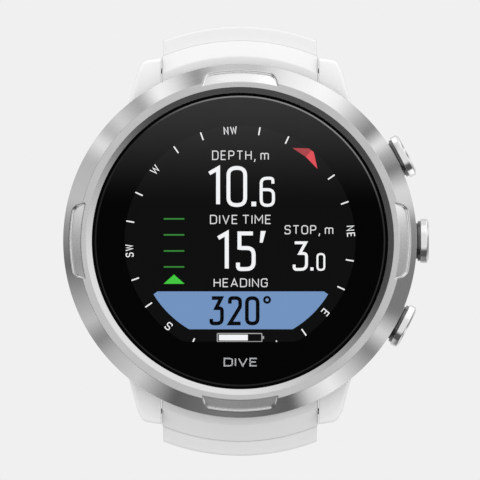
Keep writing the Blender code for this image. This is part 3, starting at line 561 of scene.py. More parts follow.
def make_bezel():
    lip_h = BEZEL_TOP - (FLAT_IN_R - LIP_R) * math.tan(math.radians(LIP_TILT))
    corners = [
        (23.8, BEZEL_UNDER), (23.8, CRYSTAL_TOP - 0.4), (LIP_R, CRYSTAL_TOP - 0.4), (LIP_R, lip_h),
        (FLAT_IN_R, BEZEL_TOP), (FLAT_OUT_R, BEZEL_TOP), (BEZEL_R, BEZEL_EDGE), (BEZEL_R, BEZEL_UNDER),
    ]
    radii = [0.1, 0, 0, 0.05, 0.08, 0.1, 0.22, 0.25]
    rough = fillet(corners, radii, 4)
    profile = []
    for i, (r, h) in enumerate(rough):
        r2, h2 = rough[(i + 1) % len(rough)]
        length = math.hypot(r2 - r, h2 - h)
        on_top = h > 13.0 and h2 > 13.0 and r > 23.0 and r2 > 23.0
        fine = 0.05 if min(r, r2) > 24.6 else 0.1
        count = max(1, round(length / (fine if on_top else 3.0)))
        profile += [(r + (r2 - r) * k / count, h + (h2 - h) * k / count) for k in range(count)]
    quarter = [12.3 + 0.15 * k for k in range(20)] + [15.5, 16.0, 17.0] + [18.0 + 1.35 * k for k in range(20)]
    quarter = [1.1 * k for k in range(8)] + [8.6 + 0.28 * k for k in range(13)] + quarter
    stations = [-turn for turn in reversed(quarter[1:])] + quarter + [45.0]
    angles = [(middle, turn) for middle in (0, 90, 180, 270) for turn in stations]
    points, shares = [], []
    for middle, station in angles:
        for r, h in profile:
            turn = along_end(r, station)
            c, s = math.cos(math.radians(middle + turn)), math.sin(math.radians(middle + turn))
            share = pocket_share(r, turn) if h > 13.0 and r > 23.0 else 0.0
            floor = cone_line(r) - POCKET_DEPTH
            low = h - share * max(0.0, h - floor)
            points.append((r * c, r * s, low))
            shares.append(share)
    size = len(profile)
    faces, zones = [], []
    for row in range(len(angles)):
        here, there = row * size, ((row + 1) % len(angles)) * size
        for i in range(size):
            k = (i + 1) % size
            faces.append((here + i, here + k, there + k, there + i))
            r = (profile[i][0] + profile[k][0]) / 2
            h = (profile[i][1] + profile[k][1]) / 2
            share = (shares[here + i] + shares[there + k]) / 2
            if share > 0.75 and r > 23.85:
                zones.append(3)
            elif h > 15.3 and r < FLAT_IN_R:
                zones.append(2)
            elif h > BEZEL_TOP - 0.02 or (r < FLAT_OUT_R and h > 15.4):
                zones.append(1)
            elif h > BEZEL_EDGE - 0.2 and r > FLAT_OUT_R:
                zones.append(0)
            else:
                zones.append(4)
    steels = [cone_steel, flat_steel, polished_steel, pocket_steel, wall_steel]
    bezel = make_piece("bezel", points, faces, steels, zones, 40.0)
    settle(bezel, "case", "brushed_steel", "bezel_ring")


# ---------------------------------------------------------------- glass and display

def make_glass():
    profile = [(0, CRYSTAL_UNDER), (EDGE_OUT_R, CRYSTAL_UNDER), (EDGE_OUT_R, CRYSTAL_TOP - EDGE_DROP)]
    profile += [(EDGE_IN_R, CRYSTAL_TOP), (0, CRYSTAL_TOP)]
    points, faces = lathe(profile, 240)
    zones = []
    for face in faces:
        middle = [sum(points[i][axis] for i in face) / len(face) for axis in range(3)]
        on_edge = math.hypot(middle[0], middle[1]) > EDGE_IN_R and middle[2] > CRYSTAL_TOP - EDGE_DROP
        zones.append(1 if on_edge else 0)
    # The bevel faces take the edge material with the painted highlight.
    crystal = make_piece("flat_glass", points, faces, [glass, painted_glint_edge], zones, 8.0)
    settle(crystal, "case", "crystal_glass", "crystal")
    gasket = [(EDGE_OUT_R + 0.03, 13.55), (23.4, 13.55), (23.4, 15.0), (22.5, 15.12), (EDGE_OUT_R + 0.03, 15.12)]
    ring = make_piece("glass_gasket", *lathe(gasket, 240), [gap_black])
    settle(ring, "case", "black_rubber", "crystal_gasket")
    outer = arc(0, 0, CRYSTAL_R - 0.1, 0, 357, 119)
    inner = []
    for x, y in outer:
        scale = DISC_R / math.hypot(x, y)
        inner.append((x * scale, max(y * scale, DISC_FLAT)))
    size = len(outer)
    points = [(x, y, MASK_UNDER) for x, y in outer + inner] + [(x, y, MASK_UNDER + 0.2) for x, y in outer + inner]
    faces = []
    for i in range(size):
        k = (i + 1) % size
        faces.append((i, k, size + k, size + i))
        faces.append((2 * size + i, 2 * size + k, 3 * size + k, 3 * size + i))
        faces.append((i, k, 2 * size + k, 2 * size + i))
        faces.append((size + i, size + k, 3 * size + k, 3 * size + i))
    mask = make_piece("printed_mask", points, faces, [black_print])
    settle(mask, "case", "black_print", "display_mask_ring")


DISC_R = 17.3
EDGE_IN_R = 21.52
EDGE_OUT_R = 21.74
EDGE_DROP = 0.08
DISC_FLAT = -15.1
GLYPH_TOP = 0.03


def rounded_path(points, radius):
    return fillet(points, [radius] * len(points), 5, closed=False)


def loop_path(width, radius):
    """A closed upright oval of height 1."""
    corners = [(0, 0), (width, 0), (width, 1), (0, 1)]
    ring = fillet(corners, [radius] * 4, 6)
    return ring + ring[:1]


def glyph(letter):
    """The centre lines of one character, as (strokes, advance width); 0 is the baseline and 1 the cap height."""
    round_ = 0.24
    tall = {
        "D": ([fillet([(0, 0), (0, 1), (0.56, 1), (0.56, 0)], [0, 0, 0.3, 0.3], 5) + [(0, 0)]], 0.56),
        "E": ([[(0.46, 1), (0, 1), (0, 0), (0.46, 0)], [(0, 0.52), (0.4, 0.52)]], 0.46),
        "P": ([[(0, 0), (0, 1)], rounded_path([(0, 1), (0.52, 1), (0.52, 0.46), (0, 0.46)], 0.26)], 0.52),
        "T": ([[(0, 1), (0.56, 1)], [(0.28, 1), (0.28, 0)]], 0.56),
        "H": ([[(0, 0), (0, 1)], [(0.56, 0), (0.56, 1)], [(0, 0.52), (0.56, 0.52)]], 0.56),
        "I": ([[(0, 0), (0, 1)]], 0.0),
        "V": ([[(0, 1), (0.29, 0), (0.58, 1)]], 0.58),
        "A": ([[(0, 0), (0.3, 1), (0.6, 0)], [(0.1, 0.3), (0.5, 0.3)]], 0.6),
        "N": ([[(0, 0), (0, 1), (0.55, 0), (0.55, 1)]], 0.55),
        "M": ([[(0, 0), (0, 1), (0.34, 0.35), (0.68, 1), (0.68, 0)]], 0.68),
        "W": ([[(0, 1), (0.21, 0), (0.42, 0.85), (0.63, 0), (0.84, 1)]], 0.84),
        "O": ([loop_path(0.58, 0.29)], 0.58),
        "S": ([rounded_path([(0.5, 0.78), (0.5, 1), (0, 1), (0, 0.52), (0.52, 0.52), (0.52, 0), (0, 0), (0, 0.22)],
                            round_)], 0.52),
        "G": ([rounded_path([(0.52, 0.76), (0.52, 1), (0, 1), (0, 0), (0.54, 0), (0.54, 0.5)], round_)
               + [(0.3, 0.5)]], 0.54),
        "m": ([[(0, 0), (0, 0.72)], rounded_path([(0, 0.5), (0.02, 0.72), (0.38, 0.72), (0.38, 0)], 0.16),
               rounded_path([(0.38, 0.5), (0.4, 0.72), (0.76, 0.72), (0.76, 0)], 0.16)], 0.76),
        ",": ([[(0.08, 0.06), (0.0, -0.28)]], 0.08),
        ".": ([[(0.0, 0.0), (0.0, 0.001)]], 0.0),
        " ": ([], -0.06),
        "0": ([loop_path(0.41, 0.2)], 0.41),
        "1": ([[(0.0, 0.86), (0.22, 1.0), (0.22, 0)]], 0.22),
        "2": ([rounded_path([(0, 0.78), (0, 1), (0.41, 1), (0.41, 0.66), (0.0, 0.0)], 0.2) + [(0.43, 0)]], 0.42),
        "3": ([[(0.02, 1), (0.39, 1), (0.19, 0.6)]
               + rounded_path([(0.19, 0.6), (0.42, 0.6), (0.42, 0), (0, 0), (0, 0.18)], 0.2)], 0.42),
        "5": ([[(0.4, 1), (0.04, 1), (0.04, 0.55)]
               + rounded_path([(0.04, 0.59), (0.42, 0.59), (0.42, 0), (0, 0), (0, 0.18)], 0.2)], 0.42),
        "6": ([rounded_path([(0.4, 0.8), (0.4, 1), (0, 1), (0, 0), (0.42, 0), (0.42, 0.58), (0.0, 0.58)], 0.2)],
              0.42),
    }
    return tall[letter]


def ribbon(path, width, place, low, high):
    """A flat bar of constant width along a path, as points and faces; a closed path repeats its first point."""
    closed = len(path) > 2 and math.dist(path[0], path[-1]) < 1e-6
    track = path[:-1] if closed else path
    track = [p for i, p in enumerate(track) if i == 0 or math.dist(p, track[i - 1]) > 1e-4]
    count = len(track)
    points, faces = [], []
    for i, point in enumerate(track):
        before = track[i - 1] if closed or i > 0 else None
        after = track[(i + 1) % count] if closed or i < count - 1 else None
        directions = []
        if before is not None:
            directions.append(Vector((point[0] - before[0], point[1] - before[1])).normalized())
        if after is not None:
            directions.append(Vector((after[0] - point[0], after[1] - point[1])).normalized())
        normals = [Vector((-d.y, d.x)) for d in directions]
        middle = sum(normals, Vector((0, 0)))
        middle = middle.normalized() if middle.length > 1e-6 else normals[0]
        stretch = min(2.2, 1 / max(0.2, middle.dot(normals[0])))
        offset = middle * (width / 2 * stretch)
        left = (point[0] + offset.x, point[1] + offset.y)
        right = (point[0] - offset.x, point[1] - offset.y)
        points += [place(*left, low), place(*right, low), place(*right, high), place(*left, high)]
    for i in range(count if closed else count - 1):
        here, there = 4 * i, 4 * ((i + 1) % count)
        for a in range(4):
            b = (a + 1) % 4
            faces.append((here + a, here + b, there + b, there + a))
    if not closed:
        faces.append((0, 1, 2, 3))
        faces.append((4 * count - 4, 4 * count - 3, 4 * count - 2, 4 * count - 1))
    return points, faces


def word(text, left, right, base, top, stroke, place=None):
    """The bars of a word fitted between its left and right outer edges, base line and cap line."""
    place = place or (lambda x, y, h: (x, y, h))
    height = top - base - stroke
    gap = 0.26 * height + stroke
    room = right - left - stroke - gap * (len(text) - 1)
    widen = room / sum(glyph(letter)[1] * height for letter in text) if text not in ("1", "I") else 1.0
    if text == "1":
        widen = room / (glyph(text)[1] * height)
    widths = [glyph(letter)[1] * height * widen for letter in text]
    low, high = DISPLAY_TOP + 0.01, DISPLAY_TOP + 0.01 + GLYPH_TOP
    parts = []
    x = left + stroke / 2
    for letter, width in zip(text, widths):
        for path in glyph(letter)[0]:
            line = [(x + px * height * widen, base + stroke / 2 + py * height) for px, py in path]
            parts.append(ribbon(line, stroke, place, low, high))
        x += width + gap
    return merge(parts)


def dot(x0, x1, y0, y1):
    return prism([(x0, y0), (x1, y0), (x1, y1), (x0, y1)], DISPLAY_TOP + 0.01, DISPLAY_TOP + 0.01 + GLYPH_TOP)


def flat_shape(outline, lift=0.0):
    low = DISPLAY_TOP + 0.01 + lift
    return prism(outline, low, low + GLYPH_TOP)


def on_ring(clockwise, radius):
    """A placing for things drawn upright at a point of the compass ring, turned to face out from the centre."""
    a = math.radians(90 - clockwise)
    cx, cy = radius * math.cos(a), radius * math.sin(a)
    turn = -math.radians(clockwise)
    c, s = math.cos(turn), math.sin(turn)
    return lambda x, y, h: (cx + c * x - s * y, cy + s * x + c * y, h)


def show(name, parts, material):
    piece = make_piece(name, *merge(parts), [material])
    settle(piece, "case", "display")
    return piece


def make_display():
    panel_outline = arc(0, 0, radius_of("display_panel"), -58, 238, 96)
    panel = make_piece("display_glass_panel", *prism(panel_outline, DISPLAY_TOP - 2.0, DISPLAY_TOP), [panel_black])
    settle(panel, "case", "display", "display_panel")
    white = glowing("lit_white", (0.98, 0.98, 0.98), 1.0)
    label = glowing("lit_label", (0.80, 0.80, 0.80), 1.0)
    label_stroke = 0.15
    labels = [
        word("DEPTH, m", -4.18, 4.32, 12.14, 13.56, label_stroke),
        word("DIVE TIME", -4.5, 4.66, 2.54, 3.92, label_stroke),
        word("STOP, m", 6.68, 13.98, 1.0, 2.37, label_stroke),
        word("HEADING", -3.95, 4.15, -6.92, -5.6, label_stroke),
    ]
    show("display_labels", labels, label)
    figures = [
        word("1", -4.9, -2.99, 5.22, 11.18, 0.59),
        word("0", -2.02, 1.06, 5.1, 11.24, 0.57),
        dot(1.71, 2.42, 5.2, 5.9),
        word("6", 2.95, 5.24, 5.12, 9.63, 0.45),
        word("1", -3.57, -1.68, -4.42, 1.48, 0.6),
        word("5", -0.6, 2.34, -4.5, 1.43, 0.59),
        flat_shape([(3.1, 1.5), (3.86, 1.5), (3.4, -0.24), (2.96, -0.24)]),
        word("3", 7.9, 10.18, -4.47, -0.05, 0.43),
        dot(10.55, 11.02, -4.42, -3.95),
        word("0", 11.46, 12.78, -4.47, -1.8, 0.29),
    ]
    show("display_figures", figures, white)
    ticks = []
    for clockwise in (10, 25, 55, 70, 100, 115, 145, 205, 235, 250, 280, 295, 325, 340):
        ticks.append(ribbon([(0, -0.6), (0, 0.6)], 0.2, on_ring(clockwise, 16.7), DISPLAY_TOP, DISPLAY_TOP + 0.04))
    ticks.append(ribbon([(0, -0.12), (0, 0.06)], 0.2, on_ring(160, 16.0), DISPLAY_TOP, DISPLAY_TOP + 0.04))
    for clockwise, text in ((85, "NE"), (130, "E"), (220, "S"), (265, "SW"), (310, "W"), (355, "NW")):
        half = 0.52 * len(text) if text != "W" else 0.65
        half = {"NE": 0.85, "SW": 0.95, "NW": 1.0, "E": 0.38, "S": 0.42, "W": 0.62}.get(text, half)
        ticks.append(word(text, -half, half, -0.6, 0.6, 0.15, on_ring(clockwise, 16.65)))
    show("compass_ring", ticks, white)
    tip, heel = (10.93, 13.85), (9.87, 12.6)
    show("north_arrow_dark", [flat_shape([(7.85, 13.95), heel, tip])], glowing("dull_red", (0.43, 0.055, 0.065), 1.0))
    show("north_arrow_light", [flat_shape([tip, heel, (11.62, 10.8)])],
         glowing("bright_red", (0.80, 0.085, 0.10), 1.0))
    bars = [dot(-11.43, -8.34, y - 0.11, y + 0.11) for y in (3.32, 0.92, -1.49, -3.88)]
    show("ascent_bars", bars, glowing("dark_green", (0.045, 0.26, 0.045), 1.0))
    show("ascent_arrow", [flat_shape([(-9.9, -5.02), (-11.46, -6.42), (-8.31, -6.42)])],
         glowing("bright_green", (0.065, 0.62, 0.06), 1.0))
    box_r = 15.33
    low_half = math.sqrt(box_r ** 2 - 13.22 ** 2)
    start = math.degrees(math.atan2(-8.0, 13.1))
    end = math.degrees(math.atan2(-13.22, low_half))
    box = [(12.6, -7.56)] + arc(0.12, 0, box_r, start, end, 10)
    box += [(0.24 - x, y) for x, y in reversed(box)]
    blue = glowing("blue_field", (0.185, 0.317, 0.56), 1.0)
    show("heading_field", [flat_shape(box)], blue)
    ink = moulded("heading_ink", (0.004, 0.004, 0.005), (0.003, 0.003, 0.004), 0.6, 3000.0, 0.0, specular=0.02)
    lift = 0.05
    dark_digits = []
    for text, left, right in (("3", -4.58, -2.42), ("2", -1.8, 0.34), ("0", 0.75, 2.93)):
        points, faces = word(text, left, right, -12.64, -8.27, 0.56)
        dark_digits.append(([(x, y, h + lift) for x, y, h in points], faces))
    ring = arc(4.06, -8.82, 0.42, 0, 360, 24)
    dark_digits.append(ribbon(ring, 0.34, lambda x, y, h: (x, y, h + lift), DISPLAY_TOP, DISPLAY_TOP + 0.05))
    show("heading_digits", dark_digits, ink)
    shell = fillet([(-3.4, -15.08), (3.28, -15.08), (3.28, -13.86), (-3.4, -13.86)], [0.12] * 4, 3)
    grey = glowing("lit_grey", (0.42, 0.42, 0.42), 1.0)
    outline = ribbon(shell + shell[:1], 0.14, lambda x, y, h: (x, y, h), DISPLAY_TOP, DISPLAY_TOP + 0.04)
    nub = dot(3.38, 3.6, -14.68, -14.26)
    show("battery_outline", [outline, nub], grey)
    show("battery_level", [dot(-3.16, 1.17, -14.9, -14.04)], white)
    mark_top = MASK_UNDER + 0.2
    mark = word("DIVE", -2.45, 2.6, -18.8, -17.5, 0.2)
    shift = mark_top - DISPLAY_TOP
    raised = ([(x, y, h + shift) for x, y, h in mark[0]], mark[1])
    show("printed_word", [raised], moulded("print_grey", (0.5, 0.5, 0.5), (0.46, 0.46, 0.46), 0.5, 3000.0, 0.0))


# ---------------------------------------------------------------- case

def lug_outline(side, end):
    outline = fillet([(11.2, 17.6), (17.35, 17.6), (16.62, 20.9), (15.35, 25.5), (14.5, 27.1), (11.2, 27.6)],
                     [0, 0, 0, 0.8, 1.3, 0], 5, closed=True)
    return [(side * x, end * y) for x, y in outline]


def along_axis(angle):
    """A placing that turns a lathe's axis to point out from the dial centre at an angle, at button height."""
    c, s = math.cos(math.radians(angle)), math.sin(math.radians(angle))
    return lambda x, y, h: (c * h - s * y, s * h + c * y, BUTTON_HEIGHT + x)


def across_bar(end):
    """A placing that turns a lathe's axis to lie along a spring bar."""
    return lambda x, y, h: (h, end * BAR_OFFSET + x, BAR_HEIGHT + y)


def make_case():
    profile = [(25.6, 9.0), (25.6, 3.0), (23.5, CASE_REAR), (18.9, CASE_REAR), (18.9, 1.8), (13.6, 1.8),
               (13.6, 4.4), (19.3, 4.4), (19.3, 13.0), (23.5, 13.0), (23.5, 9.0)]
    radii = [0.3, 1.2, 0.8, 0.15, 0, 0, 0, 0, 0, 0, 0]
    case = make_piece("case_shell", *lathe(fillet(profile, radii, 5), 180), [white_case], sharp=30.0)
    lugs = []
    for side in (1, -1):
        for end in (1, -1):
            lug = make_piece(f"lug_{side}_{end}", *prism(lug_outline(side, end), 1.1, 8.62), [white_case])
            add_bevel(lug, 0.55, 4, 40.0)
            lugs.append(lug)
    boolean_all(case, lugs, "UNION", sharp=30.0)
    cutters = []
    for end in (1, -1):
        relief = lathe([(0, -11.88), (4.8, -11.88), (4.8, 11.88), (0, 11.88)], 64, across_bar(end))
        hole = lathe([(0, -13.6), (0.75, -13.6), (0.75, 13.6), (0, 13.6)], 24, across_bar(end))
        cutters.append(make_piece(f"relief_{end}", *relief, []))
        cutters.append(make_piece(f"pin_hole_{end}", *hole, []))
    for label, angle in BUTTON_ANGLES.items():
        bore = lathe([(0, 18.2), (3.0, 18.2), (3.0, 30.0), (0, 30.0)], 48, along_axis(angle))
        cutters.append(make_piece(f"bore_{label}", *bore, []))
    sensor = [(0, 18.2), (2.6, 18.2), (2.6, 24.0), (3.3, 24.0), (3.3, 30.0), (0, 30.0)]
    cutters.append(make_piece("sensor_bore", *lathe(sensor, 48, along_axis(180)), []))
    boolean_all(case, cutters, sharp=30.0)
    settle(case, "case", "white_case", "case_body")


# ---------------------------------------------------------------- strap

CREST_R = 27.75
RISER_R = 30.1
STRAP_FACE = 32.3
END_HALF = 11.72
WIDE_HALF = 11.55
TAIL_HALF = 10.0
STRAP_THICK = 3.8
BOW_FADE = 1.8
BEND = 18.0


def strap_path(first, bend_radius, last, spacing):
    """Stations along a strap half behind the case: (outward, height, turn in radians, distance along)."""
    out, height, turn, along = STRAP_FACE - STRAP_THICK / 2 - BAR_OFFSET, -6.0, 0.0, 0.0
    stations = []
    for length, radius in ((first, 0), (bend_radius * math.radians(BEND), bend_radius), (last, 0)):
        count = max(1, round(length / spacing))
        for _ in range(count):
            stations.append((out, height, turn, along))
            step = length / count
            turned_by = step / radius if radius else 0.0
            out -= step * math.sin(turn + turned_by / 2)
            height -= step * math.cos(turn + turned_by / 2)
            turn += turned_by
            along += step
    stations.append((out, height, turn, along))
    return stations


def end_rows():
    """The stepped end as fine rows of (outer, inner, half width, outer bow, inner bow)."""
    keys = []
    for degrees in range(160, 125, -8):
        a = math.radians(degrees)
        point = (4.2 * math.cos(a), 4.2 * math.sin(a))
        keys.append((point, (point[0], -point[1]), END_HALF, 0.0, 0.0))
    steps = (
        (CREST_R - 1.25, 8.55, 0.6, -4.16, END_HALF, 1.0, 0.0),
        (CREST_R, 8.4, 1.0, -4.18, END_HALF, 1.0, 0.0),
        (RISER_R, 6.05, 2.1, -4.6, END_HALF, 1.0, 0.3),
        (RISER_R + 0.06, 5.3, 2.25, -4.7, WIDE_HALF, 1.0, 0.4),
        (STRAP_FACE - 0.2, 5.05, 2.5, -4.95, WIDE_HALF, 1.0, 0.6),
        (STRAP_FACE, 4.8, 2.8, -5.3, WIDE_HALF, 1.0, 0.8),
    )
    for radius, height, inner_out, inner_height, half, bow, inner_bow in steps:
        outer = (radius - BAR_OFFSET, height - BAR_HEIGHT)
        keys.append((outer, (inner_out, inner_height), half, bow, inner_bow))
    return keys


def lerp(a, b, t):
    if isinstance(a, tuple):
        return tuple(x + (y - x) * t for x, y in zip(a, b))
    return a + (b - a) * t


def strap_rows(path, straight, end_thick, tip):
    """The strap's sections; it keeps the dial's curve while it runs straight back and loses it in the bend."""
    total = path[-1][3]
    keys = end_rows()
    for out, height, turn, along in path:
        share = min(1.0, along / (0.55 * total))
        thick = STRAP_THICK + (end_thick - STRAP_THICK) * share
        half = WIDE_HALF + (TAIL_HALF - WIDE_HALF) * share
        into = along - (total - tip)
        if into > 0:
            half *= math.sqrt(max(0.0, 1 - 0.8 * (into / tip) ** 2))
        c, s = math.cos(turn), math.sin(turn)
        fade = min(1.0, max(0.0, (along - straight) / (BOW_FADE * straight)))
        bow = 1.0 - fade * fade * (3 - 2 * fade)
        outer = (out + c * thick / 2, height - s * thick / 2)
        inner = (out - c * thick / 2, height + s * thick / 2)
        keys.append((outer, inner, half, bow, bow))
    rows = []
    for number, (a, b) in enumerate(zip(keys, keys[1:])):
        spacing = 0.13 if number < len(end_rows()) else 0.8
        count = max(1, round(math.dist(a[0], b[0]) / spacing))
        for k in range(count):
            rows.append(tuple(lerp(p, q, k / count) for p, q in zip(a, b)))
    rows.append(keys[-1])
    for _ in range(1):
        soft = rows[:1]
        for before, row, after in zip(rows, rows[1:], rows[2:]):
            outer = tuple((p + 2 * q + r) / 4 for p, q, r in zip(before[0], row[0], after[0]))
            soft.append((outer,) + row[1:])
        rows = soft + rows[-1:]
    return rows


def strap_shape(rows, end):
    """The strap's skin: a rounded section swept along its rows, bowed round the dial near the case."""
    rim = 0.3
    across = [-1 + 2 * i / 16 for i in range(17)]
    points = []

    def bowed(out, x, bow):
        radius = out + BAR_OFFSET
        if bow <= 0 or radius <= abs(x):
            return out
        return out - bow * (radius - math.sqrt(radius * radius - x * x))

    for outer, inner, half, outer_bow, inner_bow in rows:
        thick = math.dist(outer, inner)
        direction = ((outer[0] - inner[0]) / thick, (outer[1] - inner[1]) / thick)
        turn = min(rim, thick / 2 - 0.05, half * 0.3)
        ring = []
        for step in range(5):
            a = math.pi / 2 * (1 - step / 4)
            ring.append((half - turn + turn * math.cos(a), turn - turn * math.sin(a)))
        flat = [(share * (half - turn), 0.0) for share in reversed(across[1:-1])]
        top = [(-x, d) for x, d in reversed(ring)]
        section = ring[::-1] + flat + top[::-1]
        section = [(x, d) for x, d in section]
        for x, d in section:
            spot = (bowed(outer[0], x, outer_bow) - direction[0] * d, outer[1] - direction[1] * d)
            points.append((x, spot))
        for x, d in reversed(section):
            spot = (bowed(inner[0], x, inner_bow) + direction[0] * d, inner[1] + direction[1] * d)
            points.append((x, spot))
    size = len(points) // len(rows)
    made = []
    for x, (out, height) in points:
        made.append((end * x, end * (BAR_OFFSET + out), BAR_HEIGHT + height))
    faces = [tuple(range(size)), tuple(range(len(points) - size, len(points)))]
    for row in range(len(rows) - 1):
        for i in range(size):
            k = (i + 1) % size
            here, there = size * row, size * (row + 1)
            faces.append((here + i, here + k, there + k, there + i))
    return made, faces


def strap_place(end, station):
    """A placing at a path station: x across, y on along the strap, h away from the wrist."""
    out, height, turn, _ = station
    c, s = math.cos(turn), math.sin(turn)

    def place(x, y, h):
        return end * x, end * (BAR_OFFSET + out - s * y + c * h), BAR_HEIGHT + height - c * y - s * h

    return place


def station_at(path, along):
    for a, b in zip(path, path[1:]):
        if a[3] <= along <= b[3]:
            share = (along - a[3]) / (b[3] - a[3])
            return tuple(p + (q - p) * share for p, q in zip(a, b))
    return path[-1]


def cylinder_across(end, radius, centre=None):
    place = centre or (lambda x, y, h: (end * h, end * (BAR_OFFSET + x), BAR_HEIGHT + y))
    return lathe([(0, -13.0), (radius, -13.0), (radius, 13.0), (0, 13.0)], 32, place)


def make_straps():
    lower_path = strap_path(18.0, 100.0, 50.0, 1.6)
    rows = strap_rows(lower_path, 18.0, 3.1, 8.0)
    lower = make_piece("strap_hole_half", *strap_shape(rows, -1), [silicone], sharp=50.0)
    cutters = [make_piece("lower_bore", *cylinder_across(-1, 1.2), [])]
    notch = prism([(4.6, -0.9), (9.9, -0.9), (9.9, 0.9), (4.6, 0.9)], -6.0, 0.1,
                  lambda x, y, h: (-x, -(BAR_OFFSET + y), BAR_HEIGHT + h))
    cutters.append(make_piece("lower_notch", *notch, []))
    total = lower_path[-1][3]
    for number in range(9):
        place = strap_place(-1, station_at(lower_path, total - 14.0 - 6.5 * number))
        oval = arc(0, 0.7, 0.85, 0, 180, 10) + arc(0, -0.7, 0.85, 180, 360, 10)
        cutters.append(make_piece(f"oval_{number}", *prism(oval, -4.0, 4.0, place), []))
    boolean_all(lower, cutters, solver="MANIFOLD", sharp=50.0)
    settle(lower, "strap_lower_half", "white_silicone", "strap_lower")

    upper_path = strap_path(14.0, 60.0, 38.0, 1.6)
    rows = strap_rows(upper_path, 14.0, 3.3, 0.001)
    upper = make_piece("strap_buckle_half", *strap_shape(rows, 1), [silicone], sharp=50.0)
    tail = strap_place(1, upper_path[-1])
    loop = lathe([(0, -9.95), (2.0, -9.95), (2.2, -9.75), (2.2, 9.75), (2.0, 9.95), (0, 9.95)], 40,
                 lambda x, y, h: tail(h, x, y))
    boolean_all(upper, [make_piece("loop", *loop, [silicone])], "UNION", "MANIFOLD", sharp=50.0)
    cutters = [make_piece("upper_bore", *cylinder_across(1, 1.2), [])]
    cutters.append(make_piece("loop_bore", *cylinder_across(1, 1.2, lambda x, y, h: tail(h, x, y)), []))
    slot = prism([(-1.7, -4.6), (1.7, -4.6), (1.7, 4.0), (-1.7, 4.0)], -4.0, 4.0, tail)
    cutters.append(make_piece("slot", *slot, []))
    notch = prism([(4.6, -0.9), (9.9, -0.9), (9.9, 0.9), (4.6, 0.9)], -6.0, 0.1,
                  lambda x, y, h: (x, BAR_OFFSET + y, BAR_HEIGHT + h))
    cutters.append(make_piece("upper_notch", *notch, []))
    boolean_all(upper, cutters, solver="MANIFOLD", sharp=50.0)
    settle(upper, "strap_upper_half", "white_silicone", "strap_upper")
    make_keeper("fixed_keeper", -8.5, 4.5, tail, "strap_upper_half", "strap_keeper_fixed")
    make_keeper("free_keeper", -14.5, 5.5, tail, "keeper", "strap_keeper_sliding")
    make_buckle(tail)


def make_keeper(name, at, width, tail, body, node):
    """A silicone loop round the strap, with rounded edges."""
    low, high, half, wall = -2.05, 6.0, TAIL_HALF + 0.4, 1.3
    inner = fillet([(half, high), (-half, high), (-half, low), (half, low)], [0.6] * 4, 4)
    outer = fillet([(half + wall, high + wall), (-half - wall, high + wall), (-half - wall, low - wall),
                    (half + wall, low - wall)], [1.6] * 4, 4)
    size = len(outer)
    points = []
    for y in (at - width / 2, at + width / 2):
        points += [tail(x, y, h) for x, h in outer]
        points += [tail(x, y, h) for x, h in inner]
    faces = []
    for i in range(size):
        k = (i + 1) % size
        faces.append((i, k, size + k, size + i))
        faces.append((2 * size + i, 2 * size + k, 3 * size + k, 3 * size + i))
        faces.append((i, k, 2 * size + k, 2 * size + i))
        faces.append((size + i, size + k, 3 * size + k, 3 * size + i))
    keeper = make_piece(name, points, faces, [silicone])
    add_bevel(keeper, 0.35, 3, 50.0)
    settle(keeper, body, "white_silicone", node)


def make_buckle(tail):
    arm_in, arm_out, reach, rail, heel, thick = 10.5, 12.2, 12.2, 2.4, -1.7, 1.1
    outline = [(arm_out, reach), (-arm_out, reach), (-arm_out, heel), (-arm_in, heel), (-arm_in, reach - rail),
               (arm_in, reach - rail), (arm_in, heel), (arm_out, heel)]
    outline = fillet(outline, [2.4, 2.4, 0.6, 0, 0.8, 0.8, 0, 0.6], 6)
    buckle = make_piece("buckle_ring", *prism(outline, -thick, thick, tail), [buckle_steel])
    pins = lathe([(0, -11.65), (0.8, -11.65), (0.8, 11.65), (0, 11.65)], 24, lambda x, y, h: tail(h, x, y))
    add_bevel(buckle, 0.35, 3, 50.0)
    apply_modifiers(buckle)
    boolean_all(buckle, [make_piece("pins", *pins, [])])
    settle(buckle, "buckle", "brushed_steel", "buckle_frame")
    over = thick + 0.3
    side = arc(0, 0, 1.9, 100, 380, 28)
    side += [(reach - 0.6, over), (reach - 0.1, over + 0.5), (reach - 0.6, over + 1.0), (1.5, over + 1.0)]
    points, faces = prism(side, -1.1, 1.1, lambda x, y, h: tail(h, x, y))
    tongue = make_piece("buckle_pin", points, faces, [buckle_steel])
    add_bevel(tongue, 0.3, 3, 50.0)
    apply_modifiers(tongue)
    eye = lathe([(0, -2.0), (1.2, -2.0), (1.2, 2.0), (0, 2.0)], 24, lambda x, y, h: tail(h, x, y))
    boolean_all(tongue, [make_piece("eye", *eye, [])])
    settle(tongue, "tongue", "brushed_steel", "buckle_tongue")


# ---------------------------------------------------------------- buttons, sensor and back

